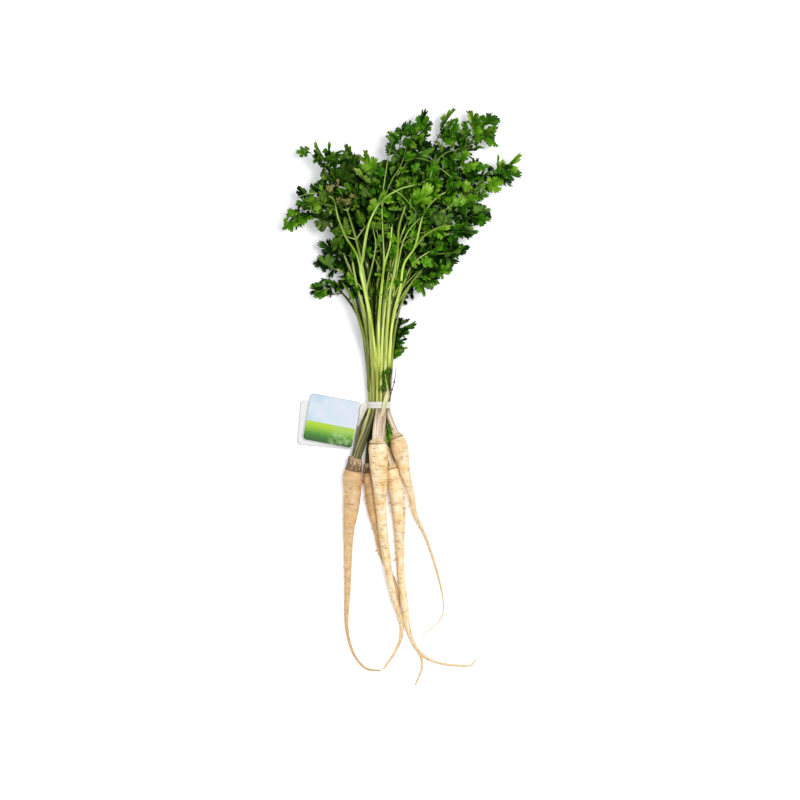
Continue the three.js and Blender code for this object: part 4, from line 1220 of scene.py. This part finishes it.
def build_twigs():
    """Thin side stems with small light sprays, from the stalks in the middle of the bunch."""
    growth = Growth(57, "twig_stems", "twig_blades")
    rng = growth.rng
    t = np.linspace(0, 1, 12)
    for _ in range(TWIGS):
        stalk, _, _ = plan(rng.choice(LEAVES))
        way = rng.uniform(0.5, 0.95)
        at, ahead = bezier(stalk, [way, min(way + 0.02, 1)])
        if at[1] < 96 or not stalks_show(at):
            continue
        side, length = rng.choice((-1, 1)), rng.uniform(11, 30)
        turn = heading_of(ahead - at) + side * (rng.uniform(0.2, 0.5) + rng.uniform(-0.9, 0.8) * t)
        steps = np.column_stack([np.cos(turn), np.sin(turn)]) * length / 11
        line = at + np.cumsum(steps, axis=0) - steps[0]
        top = sheet(TOP_LEAF, line[:, 0], line[:, 1])
        path = np.column_stack([line, 2 + (top - 3) * (rng.uniform(0.84, 1.0) + 0.04 * np.sin(3 * t))])
        radius = rng.uniform(0.45, 0.75)
        tube(growth.stems, path, np.linspace(radius, 0.35, 12), 7, tone=0.5 + 0.5 * rng.random(), pale=0.3)
        for i, lean in ((6, 60), (11, 0)):
            if i == 11 or rng.random() < 0.5:
                growth.spray(path[i], turn[i] + side * radians(lean), rng.uniform(6, 12), rng.uniform(0.35, 0.8))


# single sprays at the edge: x and y of the foot, share of the pile's height, heading in degrees, size
EDGE_SPRAYS = [
    (104, 271, 0.8, -48, 22), (108, 276, 0.8, -66, 20), (73, 266, 0.9, 84, 20), (62, 262, 0.9, 4, 14),
    (96, 268, 0.8, -70, 17), (82, 234, 0.9, 24, 17), (90, 186, 0.86, -14, 19), (80, 176, 0.84, -24, 17),
    (58, 134, 0.8, 10, 18), (36, 125, 0.84, -30, 18), (-24, 228, 0.95, 120, 20), (-30, 240, 0.9, 124, 14),
    (-58, 236, 0.85, 100, 18), (-66, 200, 0.8, 176, 15), (-66, 190, 0.74, 190, 14), (-80, 186, 0.7, 198, 20),
    (-50, 116, 0.6, 196, 15), (66, 148, 0.8, 20, 20), (-12, 240, 0.9, 112, 12), (30, 110, 0.76, 10, 9),
    (46, 268, 0.85, 80, 18), (102, 218, 0.8, -8, 19), (-54, 226, 0.8, 150, 16), (-68, 252, 0.6, 184, 13),
    (48, 128, 0.8, -34, 16), (-5, 197, 0.9, 96, 18), (-10, 206, 0.93, 130, 15), (2, 206, 0.92, 60, 13),
    (0, 90, 0.7, 80, 15), (7, 97, 0.7, 100, 15), (-7, 98, 0.68, 95, 15), (13, 99, 0.66, 70, 14),
    (2, 108, 0.74, 85, 17), (-13, 110, 0.74, 110, 15), (18, 112, 0.72, 60, 16), (92, 272, 0.8, 38, 20),
    (28, 269, 0.85, 62, 15), (-50, 243, 0.85, 95, 15), (118, 232, 0.7, 4, 19), (80, 222, 0.8, 30, 18),
    (78, 150, 0.7, 24, 17), (64, 138, 0.75, 24, 16), (83, 172, 0.8, 8, 17), (93, 190, 0.8, 2, 18),
    (41, 121, 0.8, -20, 14), (56, 204, 0.84, 30, 16), (76, 194, 0.8, 20, 16), (52, 184, 0.8, 10, 15),
    (70, 238, 0.84, 60, 16), (66, 222, 0.84, 40, 15), (38, 176, 0.8, 40, 15), (86, 266, 0.8, 86, 18),
    (66, 270, 0.85, 72, 15), (78, 244, 0.84, 18, 15), (93, 234, 0.82, 24, 16), (92, 209, 0.82, 2, 18),
    (9, 257, 0.88, 40, 14), (-44, 232, 0.85, 152, 17), (-38, 241, 0.85, 168, 14), (-56, 212, 0.85, 158, 16),
]


def build_edge():
    growth = Growth(83, "edge_stems", "edge_blades")
    for x, y, share, heading, size in EDGE_SPRAYS:
        start = np.array([x, y, 2 + share * (float(sheet(TOP_LEAF, x, y)) - 2)])
        growth.spray(start, radians(heading), size, growth.rng.uniform(0.3, 0.6), limp=0.8)


# dry leaflets: x, y and how dry they are; the driest ones are brown
DRIED = [
    (-41, 225, 1.0), (-46, 219, 1.0), (-35, 218, 1.0), (-32, 212, 1.0), (-23, 209, 1.0), (-27, 204, 1.0),
    (-38, 207, 0.9), (-50, 228, 0.6), (-52, 214, 0.5), (-29, 221, 0.6), (-20, 218, 0.5), (-44, 211, 0.6),
    (-36, 229, 0.6), (-25, 214, 0.5), (-16, 206, 0.5), (-33, 204, 0.6),
]


def build_dried():
    """Crumpled dry leaflets on the left half of the leaves."""
    rng = random.Random(71)
    form = grow("dried_leaflets", LEAF)
    for x, y, dry in DRIED:
        brown = dry > 0.8
        shape = leaflet(rng, rng.uniform(9, 13) + (0 if brown else 4), 1.9 if brown else 1.3)
        turns = rng.uniform(3.4, 6.0), radians(rng.gauss(0, 16)), radians(rng.gauss(0, 34))
        start = (x, y, (9 if brown else 5) + float(sheet(TOP_LEAF, x, y)))
        put_leaflet(form, placed(shape, start, *turns), rng, 0.5 if brown else rng.uniform(0.05, 0.3), dry)


def paint_shade_by_depth(forms):
    """Gives each point its depth under what lies over it, from 0 at the top to 1 at 16 mm; the leaf and stalk materials
    darken by it as painted shade.
    """
    points = np.vstack([np.vstack(form.points) for form in forms])
    low = points[:, :2].min(0) - 4
    top = np.zeros(np.ceil(points[:, :2].max(0) - low).astype(int) + 5)
    cell = (points[:, :2] - low).astype(int)
    np.maximum.at(top, (cell[:, 0], cell[:, 1]), points[:, 2])
    around = [(i, j) for i in (-1, 0, 1) for j in (-1, 0, 1)]
    for gather in (np.max, np.max, np.mean):
        top = gather([np.roll(top, shift, (0, 1)) for shift in around], axis=0)
    for form in forms:
        own = np.vstack(form.points)
        cell = (own[:, :2] - low).astype(int)
        form.values["painted_shade_depth"] = [np.clip((top[cell[:, 0], cell[:, 1]] - own[:, 2] - 2) / 14, 0, 1)]


def build_leaves():
    for number, leaf in enumerate(LEAVES):
        build_leaf(number, leaf)
    build_undergrowth()
    build_arches()
    build_old_stalks()
    build_strays()
    build_twigs()
    build_edge()
    build_dried()
    build_shoots()
    # paints shade into the colour of all that lies under other leaves and stalks
    paint_shade_by_depth([form for form, *_ in GROWN])
    for form, name, look, nodes in GROWN:
        form.piece(name, look, "leaf", *nodes)


def build_wisp():
    """A thin dry stem with two buds, right of the tie."""
    form = Form()
    line = through([(10.8, 4, 13), (12.2, 12, 12), (14.6, 20, 11), (16.2, 28, 11), (17.2, 38, 13)], 1.0)
    tube(form, line, np.linspace(0.6, 0.28, len(line)), 6, tone=-0.1)
    for x, y in ((12.6, 14), (14.9, 21.5)):
        bud = through([(x, y, 11.8), (x + 0.5, y + 1.4, 12), (x + 0.4, y + 2.8, 12)], 0.4)
        tube(form, bud, 0.3 + 0.6 * np.sin(np.linspace(0.2, 2.9, len(bud))), 7, tone=0.05)
    form.piece("dry_wisp", FIBRE, "leaf")


# ---- Tie and tag ----
BAND_THICKNESS, STRAP_THICKNESS = 0.55, 0.45


def build_tie():
    look, band, end = tie_material(), Form(), Form()
    angle = circle(120)
    wave = np.array([rough(2 * cos(a), 2 * sin(a), 4.0) for a in angle])
    a, b = (reach + 0.25 * wave for reach in TIE_MIDLINE)
    path = np.column_stack([a * np.cos(angle), 0.35 * wave, TIE_HEIGHT + b * np.sin(angle)])
    out = np.column_stack([np.cos(angle) / TIE_MIDLINE[0], 0 * angle, np.sin(angle) / TIE_MIDLINE[1]])
    ribbon(band, path, out, TIE_WIDTH * (0.97 + 0.05 * wave), BAND_THICKNESS, 9, 0.2, closed=True)
    band.piece("tie_loop", look, "tie", "tie_band")
    edges = []
    for edge in (through(stations, 0.8) for stations in STRAP_EDGES):
        along = lengths(edge)
        share = np.linspace(0, 1, 48)
        edges.append(np.column_stack([np.interp(share, along / along[-1], edge[:, k]) for k in range(3)]))
    left, right = edges
    middle, wide = (left + right) / 2, right - left
    out = np.cross(wide, np.gradient(middle, axis=0))
    out *= np.sign(out[:, 2:])
    ribbon(end, middle, out, np.linalg.norm(wide, axis=1), STRAP_THICKNESS, 9, 0.5)
    end.piece("tie_loose_end", look, "tie", "tie_end")


def card(width, height, turn, middle, printed, curl):
    """A card with rounded corners."""
    edge = []
    for i, (cx, cy) in enumerate(((1, 1), (-1, 1), (-1, -1), (1, -1))):
        for step in range(9):
            a = radians(90 * i + step * 11.25)
            x, y = cx * (width / 2 - TAG_CORNER), cy * (height / 2 - TAG_CORNER)
            edge.append((x + TAG_CORNER * cos(a), y + TAG_CORNER * sin(a)))
    edge = np.array(edge)
    shares = [0.12, 0.35, 0.6, 0.8, 0.93, 1.0]
    flat = np.vstack([[[0, 0]]] + [edge * s for s in shares])
    bow = curl * ((flat[:, 0] / width) ** 2 * 4 - 0.3) + 0.35 * curl * np.sin(flat[:, 1] / height * 4)
    points = np.vstack([np.column_stack([flat, bow + side * TAG_THICKNESS / 2]) for side in (1, -1)])
    points = turned(turned(points, 0.0, TAG_SLOPE), radians(turn)) + middle
    m, n = len(edge), len(flat)
    faces = []
    for j in range(m):
        k = (j + 1) % m
        faces += [(0, 1 + j, 1 + k), (n, n + 1 + k, n + 1 + j)]
        for a in range(1, n - m, m):
            b = a + m
            faces += [(a + j, b + j, b + k, a + k), (n + a + j, n + a + k, n + b + k, n + b + j)]
        a = n - m
        faces.append((a + j, n + a + j, n + a + k, a + k))
    form = Form()
    face = np.repeat([printed, 0.0], n)
    form.add(points, faces, print=np.column_stack([np.vstack([flat, flat]), face]))
    return form


def build_tag():
    look = tag_material()
    card(*TAG_FRONT, 1.0, 0.7).piece("front_leaf_of_tag", look, "tag", "tag_front")
    card(*TAG_BACK, 0.0, -0.5).piece("back_leaf_of_tag", look, "tag", "tag_back")


# ---- Table and light ----
TABLE_HALF, TABLE_DROP = 6.0, 0.0003  # in metres


def build_stage():
    n = Nodes("table", 0.8, Emission_Color=(0.97, 0.97, 1.0, 1), Emission_Strength=0.2)
    grain = n.noise(n.place(), 40, 4)
    mesh = bpy.data.meshes.new("table")
    w = TABLE_HALF
    mesh.from_pydata([(-w, -w, 0), (w, -w, 0), (w, w, 0), (-w, w, 0)], [], [(0, 1, 2, 3)])
    mesh.materials.append(n.done(n.mix(grain * 0.05, (0.985, 0.985, 0.985), (0.9, 0.9, 0.91))))
    table = bpy.data.objects.new("table", mesh)
    bpy.context.scene.collection.objects.link(table)
    table.location.z = -TABLE_DROP

    world = bpy.data.worlds.new("studio")
    bpy.context.scene.world = world
    world.use_nodes = True
    background = world.node_tree.nodes["Background"].inputs
    background[0].default_value = (0.96, 0.98, 1.0, 1)
    background[1].default_value = 0.6
    for name, place, size, power in (("key", (0.58, 0.3, 2.2), 0.65, 31), ("top", (-0.2, 0.1, 2.6), 1.6, 8)):
        light = bpy.data.objects.new(name, bpy.data.lights.new(name, "AREA"))
        light.data.size = size
        light.data.energy = power
        light.location = place
        light.rotation_mode = "QUATERNION"
        light.rotation_quaternion = (-Vector(place)).to_track_quat("-Z", "Y")
        bpy.context.scene.collection.objects.link(light)
    bpy.context.scene.view_settings.view_transform = "Standard"
    bpy.context.scene.view_settings.look = "None"


build_roots()
build_leaves()
build_wisp()
build_tie()
build_tag()
build_stage()
